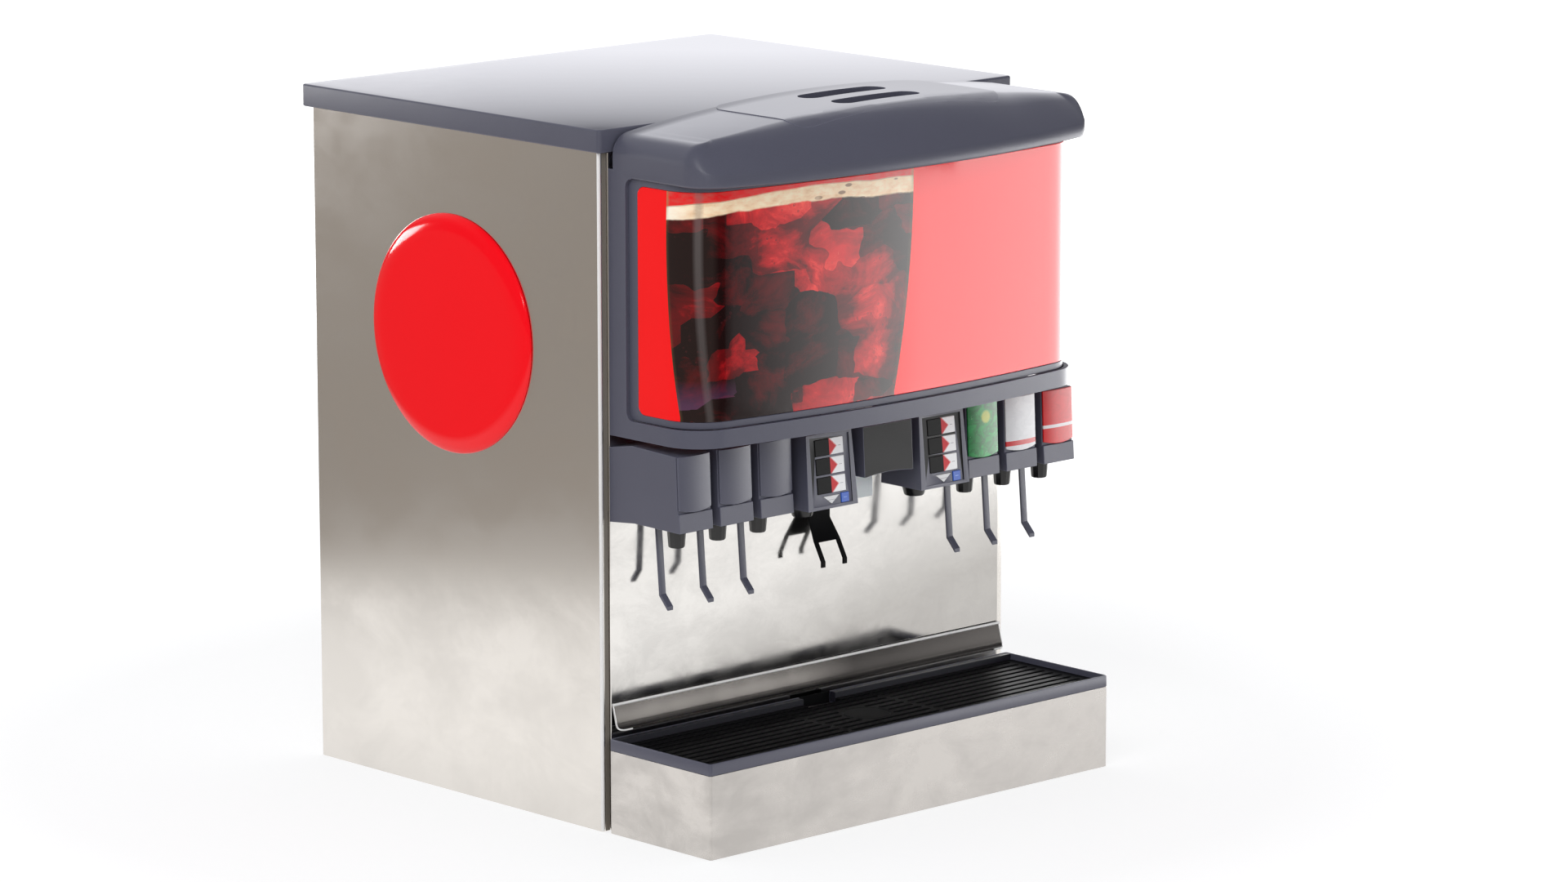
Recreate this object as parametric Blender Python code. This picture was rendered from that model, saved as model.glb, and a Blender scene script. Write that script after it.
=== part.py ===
"""Countertop fountain soda dispenser with an ice hopper, six lever valves and two
multi-flavour valves.

Frame: metres, +Z up, the customer side faces -Y. The origin is the centre of the
cabinet's footprint on the counter.
"""
from math import asin, atan2, cos, hypot, pi, radians, sin, sqrt

import bmesh
import bpy
from mathutils import Matrix, Vector

# ---- driving dimensions -------------------------------------------------------------
GAP = 0.0003                    # clearance between neighbouring pieces
SHEET = 0.0012                  # stainless sheet

CAB_HALF = 0.381                # half of the 762 mm cabinet width
CAB_FRONT = -0.300
CAB_BACK = 0.300
CAB_TOP = 0.926
CAB_RADIUS = 0.005
RETURN_FLANGE = 0.0128          # front return of each side panel
PAN_UPSTAND = 0.030

LID_HALF = 0.3865
LID_FRONT = -0.308
LID_BACK = 0.316
LID_TOP = 0.9575

SPLASH_HALF = 0.3677
SPLASH_FACE = -0.3033           # front face of the splash panel
APRON_TOP = 0.1772

TRAY_HALF = 0.378
TRAY_FRONT = -0.512
TRAY_BACK = -0.311
SKIRT_TOP = 0.115
RIM_TOP = 0.131
RIM_WALL = 0.0025
GRILLE_TOP = 0.1225
GRILLE_THICK = 0.0055
GRILLE_BACK = -0.3235           # the grille lifts out in front of the apron's hem
LEDGE_TOP = 0.1306              # rear wall of the pan, just under its rim
SLOT_PITCH = 0.0173
SLOT_WIDTH = 0.0065
SLOT_COUNT = 9
SLOT_END = 0.360
SLOT_MIDDLE = -0.405
SEAM_X = 0.0865
SEAM_HALF = 0.004
DISC_RADIUS = 0.033
DISC_Y = -0.417
NOTCH_HALF = 0.030
NOTCH_FRONT = -0.333

MERCH_HALF = 0.367
MERCH_BACK = -0.3036
RAIL_BOTTOM = 0.545
RAIL_TOP = 0.569
RAIL_DEPTH = 0.197              # depth in front of the cabinet face, at the middle
RAIL_BOW = 2.3
RAIL_CORNER = 0.060
HOOD_BOTTOM = 0.895
HOOD_LIP_TOP = 0.912
HOOD_DEPTH = 0.239
HOOD_BOW = 1.28
HOOD_CORNER = 0.045
HOOD_BACK = -0.313
HOOD_CROWN = 0.978
HOOD_ARCH = 2.4                 # radius of the crown across the width
GRIP_HALF = 0.068               # two round-ended slots in the hood's crown
GRIP_WIDTH = 0.030
GRIP_Y = (-0.367, -0.433)
BEZEL_INSET = 0.0063
WINDOW_BOTTOM = 0.579
WINDOW_TOP = 0.886
WINDOW_SIDE = -0.354            # where the window starts on each side
CHEEK_FRONT = -0.337            # front edge of the housing's side cheeks

ROW_X = 0.0047                  # middle of the valve row
VALVE_PITCH = 0.0738
VALVE_HALF = 0.030
MODULE_OFFSET = 0.106
VALVE_BOTTOM = 0.4305
VALVE_TOP = 0.534
NOZZLE_Y = -0.404
LEVER_PIVOT_Y = -0.364
LEVER_PIVOT_Z = 0.448
CHUTE_HALF = 0.0225
CHUTE_REAR = -0.335             # the chute's down duct, back and front faces
CHUTE_FRONT = -0.400
FORK_PIVOT_Y = -0.3175
FORK_PIVOT_Z = 0.445
FACE_TILT = radians(-5.54)      # lean of each module's front face

LINER_HALF = 0.320
LINER_FRONT = -0.220
LINER_BACK = 0.200
LINER_FLOOR = 0.560
LINER_WALL = 0.0035
FLANGE_TOP = 0.924
AGITATOR_Z = 0.720
AGITATOR_REACH = 0.120
ROD = 0.006

VALVES = [ROW_X - (1.5 + k) * VALVE_PITCH - 0.0849 for k in (2, 1, 0)]
VALVES += [ROW_X + (1.5 + k) * VALVE_PITCH + 0.0849 for k in (0, 1, 2)]
MODULES = [ROW_X - MODULE_OFFSET, ROW_X + MODULE_OFFSET]


# ---- materials ----------------------------------------------------------------------
def material(name, colour, roughness, metallic=0.0, transmission=0.0):
    mat = bpy.data.materials.new(name)
    mat.use_nodes = True
    shader = mat.node_tree.nodes["Principled BSDF"]
    shader.inputs["Base Color"].default_value = (*colour, 1.0)
    shader.inputs["Roughness"].default_value = roughness
    shader.inputs["Metallic"].default_value = metallic
    shader.inputs["Transmission Weight"].default_value = transmission
    mat.diffuse_color = (*colour, 1.0)
    return mat


def make_materials():
    return {
        "steel": material("brushed_steel", (0.62, 0.61, 0.58), 0.32, 1.0),
        "splash": material("bright_steel", (0.70, 0.69, 0.67), 0.16, 1.0),
        "slate": material("slate_plastic", (0.105, 0.105, 0.140), 0.42),
        "black": material("black_plastic", (0.012, 0.012, 0.013), 0.45),
        "grey": material("label_grey", (0.065, 0.065, 0.062), 0.5),
        "red": material("red_gloss", (0.85, 0.01, 0.012), 0.12),
        "display": material("display_film", (0.80, 0.02, 0.02), 0.15),
        "white": material("white_plastic", (0.82, 0.82, 0.80), 0.4),
        "blue": material("blue_key", (0.05, 0.15, 0.60), 0.4),
        "green": material("green_label", (0.03, 0.35, 0.06), 0.3),
        "liner": material("liner_plastic", (0.62, 0.65, 0.68), 0.45),
        "foam": material("foam", (0.78, 0.70, 0.45), 0.9),
        "alloy": material("cast_aluminium", (0.62, 0.63, 0.65), 0.45, 1.0),
        "rod": material("steel_rod", (0.66, 0.66, 0.66), 0.25, 1.0),
        "chute": material("translucent_chute", (0.80, 0.84, 0.84), 0.25, 0.0, 0.5),
        "motor": material("motor_paint", (0.10, 0.11, 0.12), 0.5),
    }


# ---- mesh helpers -------------------------------------------------------------------
def clear_scene():
    for obj in list(bpy.data.objects):
        bpy.data.objects.remove(obj, do_unlink=True)


def add_object(bm, name, mat=None, origin=(0.0, 0.0, 0.0), smooth=None):
    """Turn a bmesh in world coordinates into an object whose origin is `origin`."""
    bmesh.ops.recalc_face_normals(bm, faces=bm.faces)
    bmesh.ops.translate(bm, verts=bm.verts, vec=-Vector(origin))
    mesh = bpy.data.meshes.new(name)
    bm.to_mesh(mesh)
    bm.free()
    if smooth is not None:
        mesh.shade_smooth()
        mesh.set_sharp_from_angle(angle=radians(smooth))
    obj = bpy.data.objects.new(name, mesh)
    obj.location = origin
    bpy.context.scene.collection.objects.link(obj)
    if mat is not None:
        mesh.materials.append(mat)
    return obj


def loft(bm, rings, wrap=False):
    """Skin a list of equal-length vertex rings, closed at both ends unless they wrap."""
    loops = [[bm.verts.new(p) for p in ring] for ring in rings]
    count = len(loops[0])
    pairs = list(zip(loops[:-1], loops[1:]))
    if wrap:
        pairs.append((loops[-1], loops[0]))
    for low, high in pairs:
        for i in range(count):
            j = (i + 1) % count
            bm.faces.new((low[i], low[j], high[j], high[i]))
    if not wrap:
        bm.faces.new(loops[0])
        bm.faces.new(loops[-1])


def prism(outline, axis, low, high):
    """Extrude a 2-D outline along x, y or z. Outlines are (y, z), (x, z) or (x, y)."""
    place = {
        "x": lambda a, b, t: (t, a, b),
        "y": lambda a, b, t: (a, t, b),
        "z": lambda a, b, t: (a, b, t),
    }[axis]
    bm = bmesh.new()
    loft(bm, [[place(a, b, t) for a, b in outline] for t in (low, high)])
    return bm


def block(low, high):
    (x0, y0, z0), (x1, y1, z1) = low, high
    return prism([(x0, y0), (x1, y0), (x1, y1), (x0, y1)], "z", z0, z1)


def rounded_rect(x0, x1, y0, y1, radius, steps=3):
    points = []
    corners = ((x1, y1, 0), (x0, y1, 1), (x0, y0, 2), (x1, y0, 3))
    for cx, cy, quarter in corners:
        sx = -1 if cx == x1 else 1
        sy = -1 if cy == y1 else 1
        for i in range(steps + 1):
            a = (quarter + i / steps) * pi / 2
            points.append((cx + sx * radius + radius * cos(a),
                           cy + sy * radius + radius * sin(a)))
    return points


def turned(profile, centre, steps, axis="z"):
    """Revolve (radius, height) points; the first and last radii may be zero."""
    bm = bmesh.new()
    rings = []
    for radius, height in profile:
        ring = []
        for i in range(steps):
            a = 2 * pi * i / steps
            u, v = radius * cos(a), radius * sin(a)
            if axis == "z":
                ring.append((centre[0] + u, centre[1] + v, height))
            else:
                ring.append((height, centre[0] + u, centre[1] + v))
        rings.append(ring)
    loft(bm, rings)
    return bm


def tube(path, radius, steps=8):
    """Sweep a circle along a polyline that lies in a horizontal plane."""
    points = [Vector(p) for p in path]
    rings = []
    for i, point in enumerate(points):
        before = (point - points[i - 1]).normalized() if i else None
        after = (points[i + 1] - point).normalized() if i + 1 < len(points) else None
        before = before or after
        after = after or before
        tangent = (before + after).normalized()
        stretch = 1.0 / max(tangent.dot(after), 0.3)
        side = Vector((-tangent.y, tangent.x, 0.0)) * stretch
        ring = []
        for k in range(steps):
            a = 2 * pi * k / steps
            ring.append(point + side * radius * cos(a) + Vector((0, 0, radius * sin(a))))
        rings.append(ring)
    bm = bmesh.new()
    loft(bm, rings)
    return bm


def tilt(bm, centre):
    """Lean a bmesh built upright around `centre` into the module's face plane."""
    turn = Matrix.Rotation(FACE_TILT, 4, "X")
    shift = Matrix.Translation(Vector(centre))
    bmesh.ops.transform(bm, matrix=shift @ turn @ shift.inverted(), verts=bm.verts)
    return bm


def combine(target, bm, operation, name):
    """Add a Boolean modifier to `target` whose hidden operand is `bm`."""
    operand = add_object(bm, name)
    operand.hide_render = True
    operand.display_type = "WIRE"
    modifier = target.modifiers.new(operation.lower(), "BOOLEAN")
    modifier.operation = operation
    modifier.solver = "EXACT"
    modifier.object = operand


def cut(target, bm):
    combine(target, bm, "DIFFERENCE", target.name + ".cutter")


def join(target, bm):
    combine(target, bm, "UNION", target.name + ".added")


# ---- plan outlines of the bow-fronted merchandiser -------------------------------------
def bow_path(half, depth, bow, corner, back, corner_steps=5, bow_steps=12):
    """Plan path from the back left, round the bowed front, to the back right."""
    centre_y = CAB_FRONT - depth + bow
    cx = half - corner
    cy = centre_y - sqrt((bow - corner) ** 2 - cx ** 2)
    spread = asin(cx / (bow - corner))
    path = [(-half, back)]
    for i in range(corner_steps + 1):
        a = pi + (pi / 2 - spread) * i / corner_steps
        path.append((-cx + corner * cos(a), cy + corner * sin(a)))
    for i in range(1, bow_steps):
        a = spread * (2 * i / bow_steps - 1)
        path.append((bow * sin(a), centre_y - bow * cos(a)))
    for i in range(corner_steps + 1):
        a = -pi / 2 + spread + (pi / 2 - spread) * i / corner_steps
        path.append((cx + corner * cos(a), cy + corner * sin(a)))
    path.append((half, back))
    return path


def bow_band(half, depth, bow, corner, back, thickness):
    """Closed outline of a bowed sheet of even thickness."""
    outer = bow_path(half, depth, bow, corner, back)
    inner = bow_path(half - thickness, depth - thickness, bow, corner - thickness, back)
    return outer + inner[::-1]


# ---- cabinet ------------------------------------------------------------------------
def build_cabinet(mats):
    outer = rounded_rect(-CAB_HALF, CAB_HALF, CAB_FRONT, CAB_BACK, CAB_RADIUS)
    inner = rounded_rect(-CAB_HALF + SHEET, CAB_HALF - SHEET, CAB_FRONT + SHEET,
                         CAB_BACK - SHEET, CAB_RADIUS - SHEET)
    bm = bmesh.new()
    rings = []
    for outline, z in ((outer, 0.0), (outer, CAB_TOP), (inner, CAB_TOP), (inner, 0.0)):
        rings.append([(x, y, z) for x, y in outline])
    loft(bm, rings, wrap=True)
    wrap = add_object(bm, "cabinet_wrap", mats["steel"], smooth=30)
    opening = CAB_HALF - RETURN_FLANGE
    cut(wrap, block((-opening, CAB_FRONT - 0.01, -0.01),
                    (opening, CAB_FRONT + 0.01, CAB_TOP + 0.01)))

    side = CAB_HALF - SHEET - GAP
    back = CAB_BACK - SHEET - GAP
    bm = prism(rounded_rect(-side, side, -back, back, 0.006), "z", 0.0, PAN_UPSTAND)
    pan = add_object(bm, "base_pan", mats["steel"])
    side -= 0.0015
    back -= 0.0015
    cut(pan, prism(rounded_rect(-side, side, -back, back, 0.0045), "z", 0.002,
                   PAN_UPSTAND + 0.01))

    back = SPLASH_FACE + SHEET
    bm = block((-SPLASH_HALF, SPLASH_FACE, 0.003), (SPLASH_HALF, back, CAB_TOP - 0.001))
    splash = add_object(bm, "splash_panel", mats["splash"])
    cut(splash, block((ROW_X - 0.0235, SPLASH_FACE - 0.01, 0.596),
                      (ROW_X + 0.0235, back + 0.01, 0.661)))

    build_apron(mats)
    build_badge(mats)


def build_apron(mats):
    """Drip apron folded out of the splash panel's foot, with a curled lower hem."""
    y0 = SPLASH_FACE - GAP
    spine = [(y0 - 0.0012, APRON_TOP - 0.001), (y0 - 0.0045, 0.1640),
             (y0 - 0.0090, 0.1480), (y0 - 0.0118, 0.1435), (y0 - 0.0165, 0.1414)]
    half_sheet = 0.0008
    left, right = [], []
    for i, (y, z) in enumerate(spine):
        ya, za = spine[max(i - 1, 0)]
        yb, zb = spine[min(i + 1, len(spine) - 1)]
        length = hypot(yb - ya, zb - za)
        ny, nz = (zb - za) / length, -(yb - ya) / length
        left.append((y + ny * half_sheet, z + nz * half_sheet))
        right.append((y - ny * half_sheet, z - nz * half_sheet))
    add_object(prism(left + right[::-1], "x", -SPLASH_HALF, SPLASH_HALF),
               "splash_apron", mats["splash"], smooth=40)


def build_badge(mats):
    """Domed round badge on the left side panel."""
    face = -CAB_HALF - GAP
    radius = 0.1655
    profile = [(0.002, face), (radius, face), (radius, face - 0.003),
               (radius - 0.0025, face - 0.0075), (radius - 0.010, face - 0.0105),
               (0.11, face - 0.0120), (0.002, face - 0.0125)]
    bm = turned(profile, (0.0025, 0.6445), 36, axis="x")
    add_object(bm, "side_badge", mats["red"], smooth=30)


def build_hopper(mats):
    bm = block((-LINER_HALF, LINER_FRONT, LINER_FLOOR), (LINER_HALF, LINER_BACK, 0.910))
    liner = add_object(bm, "hopper_liner", mats["liner"])
    edge = CAB_HALF - 0.003
    flange = rounded_rect(-edge, edge, CAB_FRONT + 0.0018, CAB_BACK - 0.003, 0.004)
    join(liner, prism(flange, "z", 0.9005, FLANGE_TOP))
    cut(liner, block((-LINER_HALF + LINER_WALL, LINER_FRONT + LINER_WALL,
                      LINER_FLOOR + LINER_WALL),
                     (LINER_HALF - LINER_WALL, LINER_BACK - LINER_WALL, 0.95)))
    cut(liner, block((ROW_X - 0.025, LINER_FRONT - 0.01, 0.600),
                     (ROW_X + 0.025, LINER_FRONT + 0.01, 0.650)))
    ring = [(ROW_X + 0.008 * cos(i * pi / 8), AGITATOR_Z + 0.008 * sin(i * pi / 8))
            for i in range(16)]
    cut(liner, prism(ring, "y", LINER_BACK - 0.01, LINER_BACK + 0.01))

    edge = CAB_HALF - 0.0025
    outline = rounded_rect(-edge, edge, CAB_FRONT + 0.0018, CAB_BACK - 0.0025, 0.004)
    foam = add_object(prism(outline, "z", 0.440, 0.9000), "foam_insulation",
                      mats["foam"])
    cut(foam, block((-LINER_HALF - GAP, LINER_FRONT - GAP, 0.5045),
                    (LINER_HALF + GAP, LINER_BACK + GAP, 0.95)))
    cut(foam, block((ROW_X - 0.034, CAB_FRONT - 0.01, 0.588),
                    (ROW_X + 0.034, LINER_FRONT + 0.01, 0.704)))
    cut(foam, block((ROW_X - 0.050, LINER_BACK - 0.01, 0.665),
                    (ROW_X + 0.050, CAB_BACK + 0.01, 0.775)))
    cut(foam, block((-0.22, 0.10, 0.43), (0.22, 0.14, 0.52)))

    cold = add_object(block((-0.300, -0.200, 0.505), (0.300, 0.180, 0.5595)),
                      "cold_plate", mats["alloy"])
    stub_radius = 0.005
    for i in range(8):
        x = -0.1925 + 0.055 * i
        bm = turned([(stub_radius, 0.415), (stub_radius, 0.510)], (x, 0.12), 8)
        join(cold, bm)


def build_agitator(mats):
    """Bent rod that stirs the ice, driven by the gear motor behind the hopper."""
    reach, z = AGITATOR_REACH, AGITATOR_Z
    steps = [(0.2152, 0), (0.172, 0), (0.160, reach), (0.032, reach), (0.020, 0),
             (-0.020, 0), (-0.032, -reach), (-0.160, -reach), (-0.172, 0), (-0.2140, 0)]
    path = [(ROW_X + offset, y, z) for y, offset in steps]
    add_object(tube(path, ROD), "agitator", mats["rod"],
               origin=(ROW_X, 0.0, AGITATOR_Z), smooth=40)

    bm = block((ROW_X - 0.044, 0.226, z - 0.045), (ROW_X + 0.044, 0.292, z + 0.045))
    motor = add_object(bm, "agitator_motor", mats["motor"])
    ring = [(ROW_X + 0.018 * cos(i * pi / 8), z + 0.018 * sin(i * pi / 8))
            for i in range(16)]
    join(motor, prism(ring, "y", 0.2157, 0.240))


def build_ice_way(mats):
    """Gate, chute and the forked lever that opens the gate."""
    half, wall = CHUTE_HALF, 0.0025
    rear, front = CHUTE_REAR, CHUTE_FRONT
    outer = [(-0.2255, 0.5975), (rear, 0.5975), (rear, 0.421), (front, 0.421),
             (front, 0.6595), (-0.2255, 0.6595)]
    inner = [(-0.215, 0.5975 + wall), (rear - wall, 0.5975 + wall),
             (rear - wall, 0.410), (front + wall, 0.410),
             (front + wall, 0.6595 - wall), (-0.215, 0.6595 - wall)]
    chute = add_object(prism(outer, "x", ROW_X - half, ROW_X + half), "ice_chute",
                       mats["chute"])
    for side in (-1, 1):
        x = sorted((ROW_X + side * half, ROW_X + side * (half - wall)))
        join(chute, block((x[0], -0.345, 0.435), (x[1], -0.309, 0.455)))
    cut(chute, prism(inner, "x", ROW_X - half + wall, ROW_X + half - wall))

    gate_half = 0.029
    bm = block((ROW_X - gate_half, -0.2240, 0.594), (ROW_X + gate_half, -0.2208, 0.656))
    add_object(bm, "ice_gate", mats["rod"], origin=(ROW_X, -0.2224, 0.594))

    thick = 0.0025
    front = [(FORK_PIVOT_Y - thick / 2, 0.452), (FORK_PIVOT_Y - thick / 2, 0.380),
             (-0.3485, 0.326), (-0.3485, 0.318)]
    rear = [(y + thick, z) for y, z in reversed(front)]
    bm = prism(front + rear, "x", ROW_X - 0.030, ROW_X + 0.030)
    fork = add_object(bm, "ice_lever", mats["black"],
                      origin=(ROW_X, FORK_PIVOT_Y, FORK_PIVOT_Z), smooth=30)
    neck, wide, slot, crotch = 0.0196, 0.0242, 0.0168, 0.3505
    right = [(neck, 0.46), (neck, 0.380), (wide, 0.352), (wide, 0.310), (slot, 0.310),
             (slot, crotch)]
    outline = [(ROW_X + x, z) for x, z in right]
    outline += [(ROW_X - x, z) for x, z in reversed(right)]
    combine(fork, prism(outline, "y", -0.36, -0.30), "INTERSECT", "ice_lever.outline")
    ring = [(FORK_PIVOT_Y + 0.003 * cos(i * pi / 5), FORK_PIVOT_Z + 0.003 * sin(i * pi / 5))
            for i in range(10)]
    join(fork, prism(ring, "x", ROW_X - neck, ROW_X + neck))


# ---- lid ----------------------------------------------------------------------------
def build_lid(mats):
    z0 = CAB_TOP + GAP
    soft = 0.0025
    rings = []
    for inset, z in ((soft, z0), (0.0, z0 + soft), (0.0, LID_TOP - soft),
                     (soft, LID_TOP)):
        outline = rounded_rect(-LID_HALF + inset, LID_HALF - inset, LID_FRONT + inset,
                               LID_BACK - inset, 0.006 - inset * 0.5)
        rings.append([(x, y, z) for x, y in outline])
    bm = bmesh.new()
    loft(bm, rings)
    lid = add_object(bm, "lid", mats["slate"], origin=(0.0, 0.004, z0), smooth=50)
    cut(lid, block((-0.365, -0.286, z0 - 0.01), (0.365, 0.286, LID_TOP - 0.005)))


# ---- drip tray ----------------------------------------------------------------------
def tray_outline(inset, radius):
    return rounded_rect(-TRAY_HALF + inset, TRAY_HALF - inset, TRAY_FRONT + inset,
                        TRAY_BACK - inset, radius)


def build_tray(mats):
    bm = bmesh.new()
    rings = []
    for inset, z in ((0.0, 0.0), (0.0, SKIRT_TOP - GAP), (SHEET, SKIRT_TOP - GAP),
                     (SHEET, 0.0)):
        rings.append([(x, y, z) for x, y in tray_outline(inset, 0.006 - inset)])
    loft(bm, rings, wrap=True)
    add_object(bm, "tray_skirt", mats["steel"], smooth=30)

    seat = GRILLE_TOP - GRILLE_THICK - GAP
    steps = [(0.0045, 0.075), (0.0045, SKIRT_TOP), (0.0, SKIRT_TOP), (0.0, RIM_TOP - 0.0006),
             (0.0006, RIM_TOP), (RIM_WALL, RIM_TOP), (RIM_WALL, seat), (0.010, seat),
             (0.013, 0.085), (0.016, 0.079)]
    bm = bmesh.new()
    rings = []
    for inset, z in steps:
        rings.append([(x, y, z) for x, y in tray_outline(inset, 0.006 - inset * 0.2)])
    loft(bm, rings)
    pan = add_object(bm, "drip_pan", mats["slate"], smooth=30)
    drain_y = -0.380
    join(pan, turned([(0.014, 0.060), (0.014, 0.077)], (0.0, drain_y), 16))
    cut(pan, turned([(0.010, 0.050), (0.010, 0.090)], (0.0, drain_y), 16))
    join(pan, block((-TRAY_HALF + 0.001, GRILLE_BACK + GAP, SKIRT_TOP + 0.0005),
                    (TRAY_HALF - 0.001, TRAY_BACK - 0.001, LEDGE_TOP)))
    cut(pan, block((-NOTCH_HALF, NOTCH_FRONT, seat - 0.010),
                   (NOTCH_HALF, TRAY_BACK - RIM_WALL, LEDGE_TOP + 0.01)))

    side = TRAY_HALF - RIM_WALL - GAP
    outline = rounded_rect(-side, side, TRAY_FRONT + RIM_WALL + GAP, GRILLE_BACK, 0.0055)
    grille = add_object(prism(outline, "z", seat + GAP, GRILLE_TOP), "cup_rest",
                        mats["black"], origin=(0.0, SLOT_MIDDLE, seat + GAP))
    cut(grille, grille_slots())
    cut(grille, block((-NOTCH_HALF, NOTCH_FRONT, 0.10), (NOTCH_HALF, -0.31, 0.13)))


def grille_slots():
    """Three columns of long slots, interrupted by two seams and the middle disc."""
    bm = bmesh.new()
    for k in range(SLOT_COUNT):
        y = SLOT_MIDDLE + SLOT_PITCH * (k - (SLOT_COUNT - 1) / 2)
        spans = [(-SLOT_END, -SEAM_X - SEAM_HALF), (SEAM_X + SEAM_HALF, SLOT_END)]
        off = max(abs(y - DISC_Y) - SLOT_WIDTH / 2, 0.0)
        inner = SEAM_X - SEAM_HALF
        if off < DISC_RADIUS:
            edge = sqrt(DISC_RADIUS ** 2 - off ** 2) + 0.003
            spans += [(-inner, -edge), (edge, inner)]
        else:
            spans.append((-inner, inner))
        for x0, x1 in spans:
            ring = [(x0, y - SLOT_WIDTH / 2), (x1, y - SLOT_WIDTH / 2),
                    (x1, y + SLOT_WIDTH / 2), (x0, y + SLOT_WIDTH / 2)]
            loft(bm, [[(x, v, z) for x, v in ring] for z in (0.10, 0.13)])
    return bm


# ---- merchandiser -------------------------------------------------------------------
def hood_rings(inset):
    """Plan rings of the hood from its lip up to above the crown."""
    rings = []
    levels = ((HOOD_BOTTOM, 0.0, HOOD_DEPTH), (HOOD_LIP_TOP, 0.0, HOOD_DEPTH),
              (0.940, 0.0, 0.2275), (0.953, 0.006, 0.2165), (0.966, 0.017, 0.205),
              (0.990, 0.042, 0.183))
    for z, narrow, depth in levels:
        path = bow_path(MERCH_HALF - narrow - inset, depth - inset, HOOD_BOW,
                        HOOD_CORNER - inset, HOOD_BACK - inset)
        lift = inset if z == HOOD_BOTTOM else 0.0
        rings.append([(x, y, z + lift) for x, y in path])
    return rings


def above_arch(drop):
    """Everything above the hood's crowned top surface, lowered by `drop`."""
    outline = [(0.45, 1.05), (-0.45, 1.05)]
    for i in range(13):
        x = -0.45 + 0.075 * i
        outline.append((x, HOOD_CROWN - drop - x * x / (2 * HOOD_ARCH)))
    return prism(outline, "y", -0.60, -0.25)


def build_merchandiser(mats):
    bm = bmesh.new()
    loft(bm, hood_rings(0.0))
    housing = add_object(bm, "merchandiser_housing", mats["slate"], smooth=35)
    cut(housing, above_arch(0.0))

    wall = 0.004
    bm = bmesh.new()
    loft(bm, hood_rings(wall))
    hollow = add_object(bm, "merchandiser_hollow")
    hollow.hide_render = True
    hollow.display_type = "WIRE"
    cut(hollow, above_arch(wall))
    modifier = housing.modifiers.new("hollow", "BOOLEAN")
    modifier.operation = "DIFFERENCE"
    modifier.object = hollow
    throat = bow_path(0.350, 0.180, 2.0, 0.050, HOOD_BACK - wall)
    cut(housing, prism(throat, "z", HOOD_BOTTOM - 0.01, HOOD_BOTTOM + 0.01))

    for y in GRIP_Y:
        cut(housing, prism(rounded_rect(-GRIP_HALF, GRIP_HALF, y - GRIP_WIDTH / 2,
                                        y + GRIP_WIDTH / 2, GRIP_WIDTH / 2 - 0.0005, 5),
                           "z", 0.960, 1.0))

    rail = bow_band(MERCH_HALF, RAIL_DEPTH, RAIL_BOW, RAIL_CORNER, MERCH_BACK, 0.006)
    join(housing, prism(rail, "z", RAIL_BOTTOM, RAIL_TOP))
    for side in (-1, 1):
        x = sorted((side * MERCH_HALF, side * (MERCH_HALF - 0.004)))
        join(housing, block((x[0], CHEEK_FRONT, RAIL_TOP - 0.010), (x[1], MERCH_BACK, 0.904)))

    half = MERCH_HALF - BEZEL_INSET
    depth = RAIL_DEPTH - BEZEL_INSET
    band = bow_band(half, depth, RAIL_BOW, RAIL_CORNER, MERCH_BACK - GAP, 0.006)
    bezel = add_object(prism(band, "z", RAIL_TOP + GAP, HOOD_BOTTOM - GAP),
                       "display_bezel", mats["slate"], smooth=35)
    cut(bezel, block((-0.5, -0.6, WINDOW_BOTTOM), (0.5, WINDOW_SIDE, WINDOW_TOP)))

    band = bow_band(half + GAP, depth + GAP, RAIL_BOW, RAIL_CORNER,
                    WINDOW_SIDE - GAP, 0.003)
    add_object(prism(band, "z", WINDOW_BOTTOM + GAP, WINDOW_TOP - GAP),
               "display_panel", mats["display"], smooth=35)
    add_object(block((-0.350, -0.434, 0.600), (0.350, -0.430, 0.870)),
               "light_board", mats["white"])


# ---- valves -------------------------------------------------------------------------
def build_valve(index, x, mats):
    """One lever valve: hollow cover, snap-in label plate, nozzle and lever."""
    half, wall = VALVE_HALF, 0.0025
    step_z = 0.4565
    back = SPLASH_FACE - GAP
    outer = [(back, 0.4266), (-0.353, 0.4315), (-0.4437, VALVE_BOTTOM),
             (-0.4419, step_z), (-0.4389, step_z), (-0.4355, VALVE_TOP - 0.0005),
             (-0.349, 0.5365), (back, 0.5288)]
    inner = [(-0.29, 0.42), (-0.4412, 0.42), (-0.4330, VALVE_TOP - 0.003),
             (-0.349, 0.534), (-0.29, 0.5245)]
    bm = prism(outer, "x", x - half, x + half)
    cover = add_object(bm, f"valve_cover_{index}", mats["slate"])
    cut(cover, prism(inner, "x", x - half + wall, x + half - wall))

    lean = atan2(0.0034, 0.0770)
    low, high = 0.4575, 0.5330
    edge = half - 0.0012
    rings = []
    for z in (low, high):
        y = -0.4389 - GAP + (z - step_z) * lean
        ring = [(x + edge, y, z), (x - edge, y, z)]
        for i in range(9):
            t = i / 4 - 1
            dip = 0.004 * t * t if z == low else 0.0
            ring.append((x + edge * t, y - 0.0024 - 0.003 * (1 - t * t), z + dip))
        rings.append(ring)
    bm = bmesh.new()
    loft(bm, rings)
    colour = {4: "green", 5: "white", 6: "red"}.get(index, "slate")
    add_object(bm, f"label_plate_{index}", mats[colour], smooth=30)

    profile = [(0.0095, 0.4030), (0.0110, 0.4045), (0.0138, 0.4300), (0.0138, 0.4420),
               (0.0100, 0.4425), (0.0100, 0.4600)]
    add_object(turned(profile, (x, NOZZLE_Y), 14), f"nozzle_{index}", mats["black"],
               smooth=40)
    build_lever(index, x, mats)


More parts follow.
